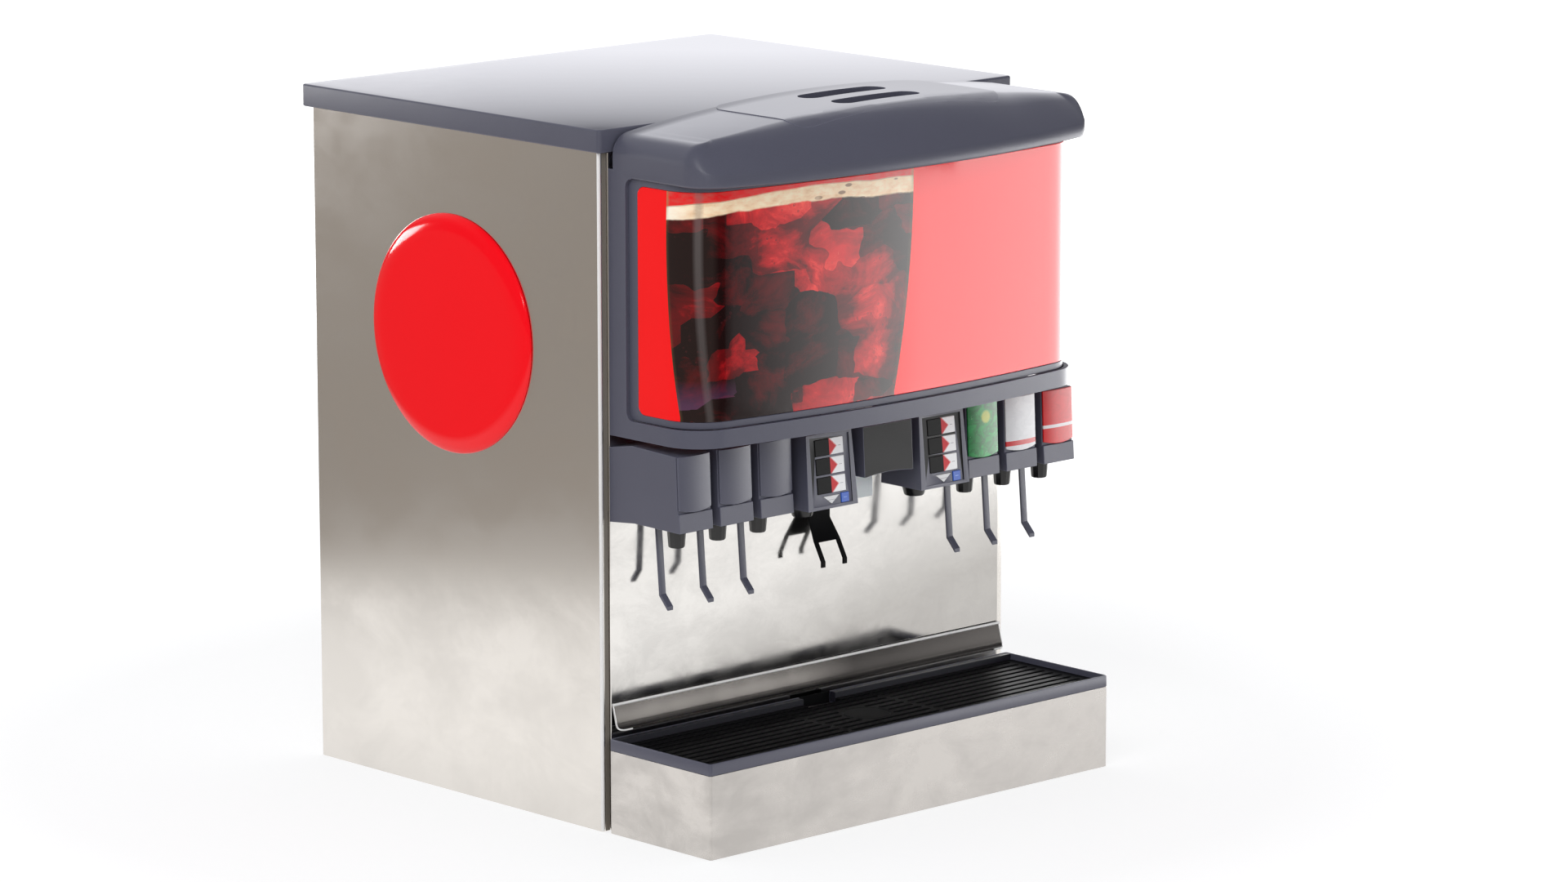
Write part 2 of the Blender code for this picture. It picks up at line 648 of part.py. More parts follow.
def build_lever(index, x, mats):
    """Flat push lever with a cross shaft; its foot kicks towards the customer."""
    outline = [(LEVER_PIVOT_Y - 0.0030, 0.4540), (-0.3770, 0.3350), (-0.3910, 0.3200),
               (-0.3910, 0.3145), (-0.3740, 0.3330), (LEVER_PIVOT_Y, 0.4540)]
    half = 0.00525
    origin = (x, LEVER_PIVOT_Y, LEVER_PIVOT_Z)
    lever = add_object(prism(outline, "x", x - half, x + half),
                       f"valve_lever_{index}", mats["slate"], origin=origin, smooth=30)
    shaft = [(LEVER_PIVOT_Y + 0.003 * cos(i * pi / 4), LEVER_PIVOT_Z + 0.003 * sin(i * pi / 4))
             for i in range(8)]
    reach = VALVE_HALF - 0.0025 - GAP
    join(lever, prism(shaft, "x", x - reach, x + reach))


# ---- multi-flavour modules ------------------------------------------------------------
def key_block(x, face, low, high, grow, front, back):
    """Block in a module's face plane; x, z from (low, high), grown by `grow`."""
    bm = block((x + low[0] - grow, face[1] + front, face[2] + low[1] - grow),
               (x + high[0] + grow, face[1] + back, face[2] + high[1] + grow))
    return tilt(bm, face)


def triangle_prism(x, face, grow, front, back):
    """Downward triangle in a module's face plane."""
    outline = [(x - 0.0165 - 2.2 * grow, face[2] - 0.0343 + grow),
               (x + 0.0130 + 2.2 * grow, face[2] - 0.0343 + grow),
               (x - 0.0018, face[2] - 0.0452 - 1.7 * grow)]
    return tilt(prism(outline, "y", face[1] + front, face[1] + back), face)


def build_module(index, x, mats):
    bottom, top = VALVE_BOTTOM + 0.0003, 0.5328
    wide, narrow = 0.046, 0.042
    outer = [(-0.378, bottom), (-0.4577, bottom), (-0.4478, top), (-0.378, top)]
    inner = [(-0.370, bottom - 0.01), (-0.4490, bottom - 0.01), (-0.4385, top - 0.0025),
             (-0.370, top - 0.0025)]
    bodies = []
    for outline, shrink in ((outer, 0.0), (inner, 0.0025)):
        bm = prism(outline, "x", -1.0, 1.0)
        for vert in bm.verts:
            t = (vert.co.z - bottom) / (top - bottom)
            half = wide + (narrow - wide) * t - shrink
            vert.co.x = x + half * vert.co.x
        bodies.append(bm)
    cover = add_object(bodies[0], f"module_cover_{index}", mats["slate"])
    cut(cover, bodies[1])
    join(cover, block((x - 0.020, -0.3795, 0.478), (x + 0.020, SPLASH_FACE - GAP, 0.520)))
    join(cover, block((x - 0.0425, -0.3805, 0.470), (x + 0.0425, -0.3780, 0.528)))

    face = (x, -0.45275, 0.48175)
    cut(cover, key_block(x, face, (-0.0365, -0.0470), (0.0365, 0.0475), 0.0, -0.02, 0.0018))
    for row in range(3):
        middle = 0.0322 - 0.0257 * row
        low, high = (-0.026, middle - 0.0111), (0.026, middle + 0.0111)
        cut(cover, key_block(x, face, low, high, 0.0004, -0.02, 0.0068))
        bm = key_block(x, face, low, high, 0.0, 0.0008, 0.0045)
        add_object(bm, f"selector_key_{index}_{row + 1}", mats["white"],
                   origin=(x, face[1], face[2] + middle))

    cut(cover, triangle_prism(x, face, 0.0004, -0.02, 0.0068))
    add_object(triangle_prism(x, face, 0.0, 0.0006, 0.0045), f"pour_key_{index}",
               mats["white"], origin=(x, face[1], face[2] - 0.039))
    low, high = (0.0165, -0.0463), (0.0305, -0.0328)
    cut(cover, key_block(x, face, low, high, 0.0004, -0.02, 0.0068))
    add_object(key_block(x, face, low, high, 0.0, 0.0004, 0.0045), f"water_key_{index}",
               mats["blue"], origin=(x + 0.0235, face[1], face[2] - 0.040))

    profile = [(0.0125, 0.4110), (0.0140, 0.4125), (0.0180, 0.4270), (0.0180, 0.4302),
               (0.0100, 0.4302), (0.0100, 0.4600)]
    add_object(turned(profile, (x - 0.004, -0.400), 16), f"module_nozzle_{index}",
               mats["black"], smooth=40)


def build_sign_cover(mats):
    """Blank cover in the middle of the row, in front of the ice chute."""
    x, half, wall = ROW_X, 0.046, 0.0025
    outer = [(SPLASH_FACE - GAP, 0.463), (-0.456, 0.463), (-0.452, 0.5325),
             (SPLASH_FACE - GAP, 0.5325)]
    inner = [(-0.29, 0.45), (-0.4528, 0.45), (-0.4490, 0.530), (-0.29, 0.530)]
    cover = add_object(prism(outer, "x", x - half, x + half), "sign_cover", mats["grey"])
    cut(cover, prism(inner, "x", x - half + wall, x + half - wall))
    arc = [(x + half * t, 0.4625 + 0.0035 * (1 - t * t)) for t in
           (-1.1, -0.8, -0.5, 0.0, 0.5, 0.8, 1.1)]
    arc += [(x + 0.06, 0.45), (x - 0.06, 0.45)]
    cut(cover, prism(arc, "y", -0.47, -0.44))
    side = CHUTE_HALF + GAP
    cut(cover, block((x - side, CHUTE_FRONT - GAP, 0.52), (x + side, CHUTE_REAR + GAP, 0.54)))


def main():
    clear_scene()
    mats = make_materials()
    build_cabinet(mats)
    build_hopper(mats)
    build_agitator(mats)
    build_ice_way(mats)
    build_lid(mats)
    build_tray(mats)
    build_merchandiser(mats)
    for index, x in enumerate(VALVES, start=1):
        build_valve(index, x, mats)
    for index, x in enumerate(MODULES, start=1):
        build_module(index, x, mats)
    build_sign_cover(mats)


main()
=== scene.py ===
"""The looks of the fountain soda dispenser: fine shells, materials, floor, light, camera."""
from math import asin, atan2, cos, pi, radians, sin, sqrt

import bmesh
import bpy
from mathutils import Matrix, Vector
from numpy import interp


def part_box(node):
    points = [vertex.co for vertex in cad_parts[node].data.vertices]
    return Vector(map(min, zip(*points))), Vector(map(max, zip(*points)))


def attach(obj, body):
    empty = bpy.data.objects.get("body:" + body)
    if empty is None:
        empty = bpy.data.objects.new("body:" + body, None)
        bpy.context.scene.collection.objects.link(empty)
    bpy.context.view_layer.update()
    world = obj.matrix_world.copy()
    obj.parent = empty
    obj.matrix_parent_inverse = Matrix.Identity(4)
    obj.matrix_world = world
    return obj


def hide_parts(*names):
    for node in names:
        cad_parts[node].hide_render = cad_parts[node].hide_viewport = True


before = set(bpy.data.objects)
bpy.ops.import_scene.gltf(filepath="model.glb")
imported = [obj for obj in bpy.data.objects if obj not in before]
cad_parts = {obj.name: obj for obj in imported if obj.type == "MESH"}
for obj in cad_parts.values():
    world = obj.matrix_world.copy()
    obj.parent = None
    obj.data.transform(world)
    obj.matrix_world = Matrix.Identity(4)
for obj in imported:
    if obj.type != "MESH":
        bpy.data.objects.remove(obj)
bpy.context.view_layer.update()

# ---- places taken from the CAD frame ----
CABINET = "cabinet"
VALVES = range(1, 7)
MODULES = (1, 2)
CAB_LO, CAB_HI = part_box("cabinet_wrap")
CAB_FRONT = CAB_LO.y
HOUSING_LO, HOUSING_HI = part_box("merchandiser_housing")
BEZEL_LO, BEZEL_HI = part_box("display_bezel")
PANEL_LO, PANEL_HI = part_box("display_panel")
TRAY_LO, TRAY_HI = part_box("tray_skirt")
REST_LO, REST_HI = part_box("cup_rest")
FACE_TILT = radians(-5.54)
SHEET = 0.0012
LAND_STEP = 0.0018
RIM_TOP = 0.131

# ---- radiance that polished surfaces see on the floor ----
POOL = (0.97, 0.955, 0.935)
POOL_LEFT = (1.1, 1.08, 1.055)
FAR_LEFT = (0.345, 0.31, 0.275)
FAR_RIGHT = (0.04, 0.037, 0.035)


# ---- node graphs ----
def operator(kind, swapped=False):
    """Method of Value that adds one maths node."""
    def made(self, other=0.0):
        return self.graph.math(kind, *((other, self) if swapped else (self, other)))
    return made


class Value:
    """A node's output. Arithmetic on it adds maths nodes."""

    def __init__(self, graph, socket):
        self.graph = graph
        self.socket = socket

    __add__ = __radd__ = operator("ADD")
    __mul__ = operator("MULTIPLY")
    __sub__ = operator("SUBTRACT")
    __rsub__ = operator("SUBTRACT", swapped=True)
    __truediv__ = operator("DIVIDE")
    __pow__ = operator("POWER")
    __lt__ = operator("LESS_THAN")
    __gt__ = operator("GREATER_THAN")
    __abs__ = operator("ABSOLUTE")


class Graph:
    """A material (or world) whose node tree is written as nested calls."""

    def __init__(self, name, block=None):
        self.mat = bpy.data.materials.new(name) if block is None else block
        self.mat.use_nodes = True
        self.tree = self.mat.node_tree
        self.shader = self.tree.nodes.get("Principled BSDF")

    def node(self, kind, inputs=None, out=0, **props):
        made = self.tree.nodes.new("ShaderNode" + kind)
        for key, value in props.items():
            setattr(made, key, value)
        self.feed(made, inputs or {})
        return Value(self, made.outputs[out])

    def feed(self, made, inputs):
        for key, value in inputs.items():
            if isinstance(value, Value):
                self.tree.links.new(value.socket, made.inputs[key])
            else:
                made.inputs[key].default_value = value

    def place(self, scale=(1, 1, 1), kind="Object"):
        return self.node("Mapping", {"Vector": self.node("TexCoord", out=kind), "Scale": scale})

    def noise(self, vector, scale, detail=3.0, rough=0.5, warp=0.0):
        return self.node("TexNoise", {"Vector": vector, "Scale": scale, "Detail": detail,
                                      "Roughness": rough, "Distortion": warp})

    def cells(self, vector, scale, randomness=1.0, out="Distance", **props):
        return self.node("TexVoronoi", {"Vector": vector, "Scale": scale,
                                        "Randomness": randomness}, out, **props)

    def vector(self, kind, a, b, out="Vector"):
        return self.node("VectorMath", {0: a, 1: b}, out, operation=kind)

    def math(self, kind, a, b=0.0, c=0.0, clamp=False):
        return self.node("Math", {0: a, 1: b, 2: c}, operation=kind, use_clamp=clamp)

    def remap(self, value, low, high, to_low=0.0, to_high=1.0):
        return self.node("MapRange", {"Value": value, "From Min": low, "From Max": high,
                                      "To Min": to_low, "To Max": to_high}, clamp=True)

    def vary(self, noise, to_low, to_high):
        return self.remap(noise, 0.3, 0.7, to_low, to_high)

    def blend(self, factor, a, b):
        made = self.tree.nodes.new("ShaderNodeMix")
        made.data_type = "RGBA"
        colours = [(*v, 1.0) if isinstance(v, tuple) else v for v in (a, b)]
        self.feed(made, {0: factor, 6: colours[0], 7: colours[1]})
        return Value(self, made.outputs[2])

    def bump(self, height, strength, distance=0.0005, normal=None):
        inputs = {"Height": height, "Strength": strength, "Distance": distance}
        if normal is not None:
            inputs["Normal"] = normal
        return self.node("Bump", inputs)

    def edges(self, radius, reach=0.12):
        """Mask of the rounded edges within a radius."""
        soft = self.node("Bevel", {"Radius": radius}, samples=4)
        true = self.node("NewGeometry", out="Normal")
        flat = self.vector("DOT_PRODUCT", soft, true, "Value")
        return self.remap(flat, 1.0 - reach * 0.05, 1.0 - reach)

    def split(self, vector):
        made = self.tree.nodes.new("ShaderNodeSeparateXYZ")
        self.feed(made, {0: vector})
        return [Value(self, socket) for socket in made.outputs]

    def finish(self, **inputs):
        names = {"colour": "Base Color", "rough": "Roughness", "metal": "Metallic",
                 "normal": "Normal", "coat": "Coat Weight", "clear": "Transmission Weight",
                 "ior": "IOR", "glow": "Emission Color", "glow_power": "Emission Strength",
                 "specular": "Specular IOR Level", "scatter": "Subsurface Weight",
                 "scatter_size": "Subsurface Scale"}
        ready = {}
        for key, value in inputs.items():
            ready[names[key]] = (*value, 1.0) if isinstance(value, tuple) else value
        self.feed(self.shader, ready)
        return self.mat


# ---- materials ----
def steel(name, colour, rough, spread, grain=0.04, cloud=5.0, dull=0.93, fall=None):
    """Stainless sheet: fine even grain, level wipe marks and cloudy smudges; with fall, painted
    shade darkens it towards the bottom.
    """
    g = Graph(name)
    at = g.place()
    clouds = g.noise(at, cloud, 6.0, 0.62, 0.4)
    wipes = g.noise(g.place((0.8, 0.8, 1.5)), cloud * 1.6, 6.0, 0.62, 0.5)
    speck = g.noise(at, 1900.0, 2.0, 0.6)
    smudge = g.remap(clouds * wipes, 0.17, 0.34)
    tone = g.blend(smudge, tuple(dull * c for c in colour), colour)
    # Painted shade: with fall, the sheet gets darker towards its bottom, more so to the right.
    if fall:
        x, _, z = g.split(at)
        height = z - x * 0.22
        tone = g.blend(g.remap(height, fall[0], fall[1], fall[2], 0.0), tone,
                       (0.34, 0.325, 0.31))
    tone = g.blend(g.remap(speck, 0.35, 0.65, 0.14, 0.0), tone, (0.4, 0.38, 0.36))
    base = g.remap(smudge, 0.0, 1.0, rough + spread, rough)
    rough_all = base + g.vary(speck, -0.02, 0.02)
    dents = g.bump(g.noise(at, 3.0, 1.0), 0.06, 0.003)
    return g.finish(colour=tone, rough=rough_all, metal=1.0,
                    normal=g.bump(speck, grain, 0.0002, dents))


def apron_sheet(name):
    """Stainless strip in a dark tone with painted reflections: lighter towards the left, darker
    towards the right, a painted shade line along the crease and a painted lighter foot.
    """
    g = Graph(name)
    at = g.place()
    x, _, z = g.split(at)
    cloud = g.noise(at, 14.0, 4.0)
    # Dark base tone: the strip is a darker copy of the stainless, its darkness painted shade.
    tone = g.blend(cloud, (0.105, 0.098, 0.091), (0.135, 0.127, 0.118))
    # Painted reflection: lighter towards the left end, near-black towards the right.
    tone = g.blend(g.remap(x, -0.26, 0.0, 0.75, 0.2), tone, (0.33, 0.31, 0.29))
    tone = g.blend(g.remap(x, -0.04, 0.08, 0.0, 0.9), tone, (0.024, 0.022, 0.021))
    # Painted light: the foot below the crease is lighter.
    tone = g.blend(g.remap(z, 0.1484, 0.149, 0.4, 0.0), tone, (0.34, 0.32, 0.3))
    # Painted shade: a dark line along the crease.
    gap = abs(z - 0.1495)
    tone = g.blend(g.remap(gap, 0.0004, 0.0011, 0.6, 0.0), tone, (0.07, 0.065, 0.06))
    speck = g.noise(at, 1900.0, 2.0, 0.6)
    return g.finish(colour=tone, rough=g.vary(cloud, 0.2, 0.26), metal=1.0,
                    normal=g.bump(speck, 0.04, 0.0002))


def moulded(name, colour, rough=0.42, grain=0.25, lift=0.3, shine=0.5, haze=0.0):
    """Moulded plastic with a spark-eroded grain and painted highlights on its rounded edges;
    with haze, a painted sheen glows on its tops.
    """
    g = Graph(name)
    at = g.place()
    fine = g.noise(at, 1300.0, 2.0, 0.7)
    light = tuple(min(1.0, c * 1.9 + 0.01) for c in colour)
    tone = g.blend(g.noise(at, 9.0, 3.0), tuple(c * 0.94 for c in colour),
                   tuple(c * 1.05 for c in colour))
    # Painted highlight: rounded edges, found with the bevel normal, lightened by lift.
    tone = g.blend(g.edges(0.0012) * lift, tone, light)
    tone = g.blend(g.remap(fine, 0.35, 0.65, 0.0, 0.14), tone, light)
    varied = g.vary(g.noise(at, 30.0, 3.0), rough - 0.01, rough + 0.02)
    if not haze:
        return g.finish(colour=tone, rough=varied, normal=g.bump(fine, grain, 0.0003),
                        specular=shine)
    # Painted sheen: up-facing tops above 0.9 m glow pale grey at grazing views, rising towards
    # the back right of the lid, and over the hood, most to the right of its land.
    x, y, z = g.split(at)
    lid = g.remap(x * 0.67 + y * 0.72, -0.46, 0.3) ** 0.6 * g.remap(y, -0.345, -0.325)
    hood = g.remap(x, 0.188, 0.215, 0.6, 0.88) * g.remap(y, -0.345, -0.325, 1.0, 0.0)
    _, _, up = g.split(g.node("NewGeometry", out="Normal"))
    skim = g.node("LayerWeight", {"Blend": 0.5}, out="Facing")
    dust_and_sheen = g.remap(up, 0.74, 0.98, 0.0, haze) * (lid + hood)
    dust_and_sheen = dust_and_sheen * g.remap(skim, 0.45, 0.88) * g.remap(z, 0.9, 0.93)
    return g.finish(colour=tone, rough=varied, normal=g.bump(fine, grain, 0.0003),
                    specular=shine, glow=(0.93, 0.93, 0.97), glow_power=dust_and_sheen)


def glossy(name, colour, deep, ripple=0.02):
    """Vacuum-formed glossy plastic with a very slight orange peel."""
    g = Graph(name)
    at = g.place()
    peel = g.noise(at, 160.0, 2.0)
    tone = g.blend(g.noise(at, 5.0, 2.0), deep, colour)
    dust_and_sheen = g.remap(g.noise(at, 420.0, 2.0), 0.62, 0.75, 0.1, 0.14)
    # Painted light: the colour also glows a little though the badge has no lamp.
    return g.finish(colour=tone, rough=dust_and_sheen, normal=g.bump(peel, ripple, 0.001),
                    specular=0.3, glow=tone, glow_power=0.18)


def key_face(name):
    """Selector key: black left half, white right half with a red pointer."""
    g = Graph(name)
    x, _, z = g.split(g.place(kind="Generated"))
    middle = abs(z - 0.5)
    reach = g.remap(middle, 0.0, 0.5, 0.74, 0.5)
    pointer = x < reach
    mark = (middle < 0.016) * g.math("COMPARE", x, 0.86, 0.055)
    grain = g.noise(g.place(), 900.0, 2.0)
    pale = g.blend(g.vary(grain, 0.0, 0.1), (0.92, 0.92, 0.92), (0.7, 0.7, 0.7))
    tone = g.blend(mark, pale, (0.35, 0.35, 0.36))
    tone = g.blend(pointer, tone, (0.62, 0.055, 0.062))
    halo = (x > reach) * (x < reach + 0.035)
    tone = g.blend(halo, tone, (0.8, 0.4, 0.4))
    tone = g.blend(x < 0.5, tone, (0.006, 0.006, 0.006))
    # Painted light: the print glows faintly though the key has no lamp.
    return g.finish(colour=tone, rough=g.vary(grain, 0.28, 0.4),
                    normal=g.bump(grain, 0.08, 0.0002), specular=0.1, glow=tone,
                    glow_power=0.14)


def speckled(name, colour, mark, rough=0.35):
    """Small printed key with a faint dash in the middle."""
    g = Graph(name)
    x, _, z = g.split(g.place(kind="Generated"))
    grain = g.noise(g.place(), 1100.0, 2.0)
    near = g.math("COMPARE", z, 0.52, 0.035) * g.math("COMPARE", x, 0.5, 0.22)
    tone = g.blend(g.vary(grain, 0.0, 0.15), colour, tuple(0.7 * c for c in colour))
    tone = g.blend(near, tone, mark)
    return g.finish(colour=tone, rough=g.vary(grain, rough - 0.05, rough + 0.08),
                    normal=g.bump(grain, 0.1, 0.0002))


def bubbles(g, at, scale, size, ring=0.25):
    """Mask of thin round bubbles scattered by cells."""
    distance = g.cells(at, scale, 0.9)
    return (distance < size) - (distance < size * (1 - ring))


def label(name, base, deep, accent, spot=None, band=None):
    """Glossy printed label: swirled ground, bubbles, a soft round spot and a plain band."""
    g = Graph(name)
    x, _, z = g.split(g.place(kind="Generated"))
    at = g.node("CombineXYZ", {0: x, 1: z * 1.3, 2: 0.0})
    swirl = g.noise(at, 3.0, 5.0, 0.6, 1.6)
    tone = g.blend(g.remap(swirl, 0.4, 0.62), deep, base)
    # Painted shade: darker towards the plate's left edge.
    tone = g.blend(g.remap(x, 0.0, 0.35, 0.55, 0.0), tone, deep)
    if spot:
        (sx, sz), size, spot_colour = spot
        gap = g.vector("DISTANCE", at, (sx, sz * 1.3, 0.0), "Value")
        tone = g.blend(g.remap(gap, size * 0.7, size, 1.0, 0.0), tone, spot_colour)
        rings = g.math("ADD", bubbles(g, at, 6.0, 0.1), bubbles(g, at, 11.0, 0.12),
                       clamp=True)
        tone = g.blend(rings * 0.55, tone, accent)
    else:
        tone = g.blend((z > band[0]) * (z < band[1]), tone, accent)
    return g.finish(colour=tone, rough=g.vary(swirl, 0.16, 0.24),
                    normal=g.bump(g.noise(g.place(), 300.0), 0.03, 0.0005))


def iced_drink(g, at, up, share):
    """Near-black drink with angular blocks of red-lit ice, darker to the left and below."""
    warp = g.noise(at, 11.0, 3.0, 0.55)
    wide = g.vector("MULTIPLY", at, (0.85, 1.25, 1.0))
    bent = g.vector("ADD", wide, g.node("VectorMath", {0: warp, "Scale": 0.04},
                                        operation="SCALE"))
    chance, _, other = g.split(g.cells(bent, 15.0, 0.85, "Color", distance="CHEBYCHEV"))
    fall = g.cells(bent, 15.0, 0.85, distance="CHEBYCHEV")
    murk = g.noise(bent, 14.0, 7.0, 0.66, 0.6)
    light = chance + (murk - 0.5) * 1.7 - fall * 0.55
    light = light + g.remap(share, 0.02, 0.42, -0.42, 0.0) + g.remap(share, 0.88, 1.0, 0.0, -0.5)
    depth = g.remap(light, -0.15, 0.45)
    glow = g.remap(light, 0.28, 0.75)
    tone = g.blend(depth, (0.01, 0.003, 0.003), (0.15, 0.003, 0.005))
    tone = g.blend(glow, tone, (0.6, 0.01, 0.014))
    hot = g.remap(light, 0.6, 1.0) * g.remap(murk, 0.45, 0.62)
    tone = g.blend(hot, tone, (0.86, 0.065, 0.045))
    specks = g.remap(g.noise(at, 170.0, 4.0, 0.7), 0.66, 0.74) * (glow * 0.45)
    tone = g.blend(specks, tone, (0.95, 0.3, 0.2))
    fizz = bubbles(g, at, 130.0, 0.26, 0.45)
    tone = g.blend(fizz * g.remap(murk, 0.5, 0.6, 0.0, 0.55), tone, (0.05, 0.008, 0.01))
    violet = g.remap(other, 0.55, 0.7) * g.remap(up, 0.6, 0.635, 1.0, 0.0)
    violet = violet * g.remap(share, 0.3, 0.42, 1.0, 0.0)
    return g.blend(violet * 0.35, tone, (0.19, 0.07, 0.17))


def foam_head(g, at, up, share, drink):
    """Thin cream foam band, bowed like the rim, with a few long bubbles in it."""
    wave = g.vary(g.noise(at, 9.0, 2.0), -0.0018, 0.0018)
    sag = (share - 0.62) ** 2.0 * -0.036
    surface = 0.88 + sag + wave
    thick = g.remap(share, 0.0, 1.0, 0.018, 0.023)
    edge = g.vary(g.noise(at, 22.0, 3.0, 0.5), -0.0016, 0.0016)
    under = surface - (thick + edge)
    foam = g.remap(surface - up, -0.001, 0.0015) * g.remap(up - under, -0.0008, 0.0015)
    froth = g.noise(g.vector("MULTIPLY", at, (1.0, 2.2, 1.0)), 55.0, 5.0, 0.6)
    cream = g.blend(g.remap(froth, 0.25, 0.62), (0.7, 0.44, 0.24), (0.9, 0.72, 0.5))
    cream = g.blend(g.remap(share, 0.0, 0.1, 0.9, 0.0), cream, (0.97, 0.9, 0.76))
    hole = g.cells(g.vector("MULTIPLY", at, (1.0, 2.6, 1.0)), 34.0)
    pick = g.remap(g.noise(at, 14.0, 2.0), 0.46, 0.52, 0.0, 0.8) * g.remap(share, 0.38, 0.46)
    cream = g.blend(g.remap(hole, 0.2, 0.26, 1.0, 0.0) * pick, cream, (0.16, 0.08, 0.05))
    rim = g.blend(g.remap(froth, 0.4, 0.65), (0.74, 0.01, 0.014), (0.62, 0.06, 0.05))
    return g.blend(foam, g.blend(up > surface, drink, rim), cream)


def drink_picture(name, half_arc, low, high):
    """Back-printed film: a plain tumbler of iced dark drink on a red ground.

    The UV map runs from 0 to 1 along the bow and up the panel.
    """
    g = Graph(name)
    u, v, _ = g.split(g.node("TexCoord", out="UV"))
    across = g.remap(u, 0.0, 1.0, -half_arc, half_arc)
    up = g.remap(v, 0.0, 1.0, low, high)
    at = g.node("CombineXYZ", {0: across, 1: up, 2: 0.0})

    rise = g.remap(up, 0.585, 0.88)
    bulge = rise * (1.0 - rise) * 0.034
    left = g.remap(rise, 0.0, 1.0, -0.374, -0.3945) - bulge
    right = g.remap(rise, 0.0, 1.0, -0.02, 0.0155) + bulge
    inside = (across > left) * (across < right)
    share = (across - left) / (right - left)
    drink = foam_head(g, at, up, share, iced_drink(g, at, up, share))
    wall = g.math("ADD", g.remap(share, 0.0, 0.014, 1.0, 0.0),
                  g.remap(share, 0.982, 1.0, 0.0, 1.0), clamp=True)
    wall = wall * g.remap(up, 0.84, 0.87, 0.12, 0.7)
    drink = g.blend(wall, drink, (0.3, 0.24, 0.1))
    glint = g.remap(abs(share - 0.115), 0.006, 0.02, 0.42, 0.0)
    drink = g.blend(glint * g.remap(up, 0.6, 0.86, 0.6, 1.0), drink, (0.17, 0.15, 0.145))

    ground = g.blend(g.noise(at, 8.0, 2.0), (0.86, 0.0015, 0.004), (0.9, 0.003, 0.006))
    # Painted reflection: the film turns white towards its right end.
    painted_glare = g.remap(across, 0.28, 0.4) ** 2.0 * 0.8
    tone = g.blend(painted_glare, g.blend(inside, ground, drink), (1.0, 0.9, 0.9))
    peel = g.noise(at, 90.0, 2.0)
    return g.finish(colour=tone, rough=g.vary(peel, 0.05, 0.08),
                    normal=g.bump(peel, 0.012, 0.001), glow=tone, glow_power=0.26,
                    specular=0.5)


def milky(name):
    """Translucent moulded plastic, slightly cloudy."""
    g = Graph(name)
    haze = g.noise(g.place(), 60.0, 4.0, 0.6)
    tone = g.blend(haze, (0.84, 0.85, 0.86), (0.93, 0.93, 0.93))
    return g.finish(colour=tone, rough=g.vary(haze, 0.28, 0.42), clear=0.04,
                    ior=1.45, scatter=0.2, scatter_size=0.02, coat=0.2)


def foam_block(name):
    """Rigid poured foam: small open cells under a skin."""
    g = Graph(name)
    at = g.place()
    cells = g.cells(at, 700.0)
    tone = g.blend(g.noise(at, 12.0, 4.0), (0.72, 0.6, 0.33), (0.85, 0.75, 0.5))
    return g.finish(colour=tone, rough=g.remap(cells, 0.0, 0.6, 0.95, 0.8),
                    normal=g.bump(cells, 0.5, 0.0008))


def cast(name):
    """Cast aluminium with a sand-cast skin."""
    g = Graph(name)
    at = g.place()
    lumps = g.noise(at, 350.0, 5.0, 0.7)
    tone = g.blend(lumps, (0.5, 0.51, 0.53), (0.7, 0.71, 0.73))
    return g.finish(colour=tone, metal=1.0, rough=g.vary(lumps, 0.38, 0.6),
                    normal=g.bump(lumps, 0.4, 0.0006))


def circuit(name):
    """White light board with rows of small lamps."""
    g = Graph(name)
    x, _, z = g.split(g.place())
    row = abs(g.math("FRACT", z * 22.0) - 0.5)
    column = abs(g.math("FRACT", x * 33.0) - 0.5)
    lamp = (row < 0.06) * (column < 0.09)
    tone = g.blend(lamp, (0.8, 0.8, 0.78), (0.95, 0.85, 0.35))
    return g.finish(colour=tone, rough=g.vary(g.noise(g.place(), 200.0), 0.3, 0.45))


MATERIALS = {}


def add(kind, name, *values, **more):
    MATERIALS[name] = kind(name, *values, **more)


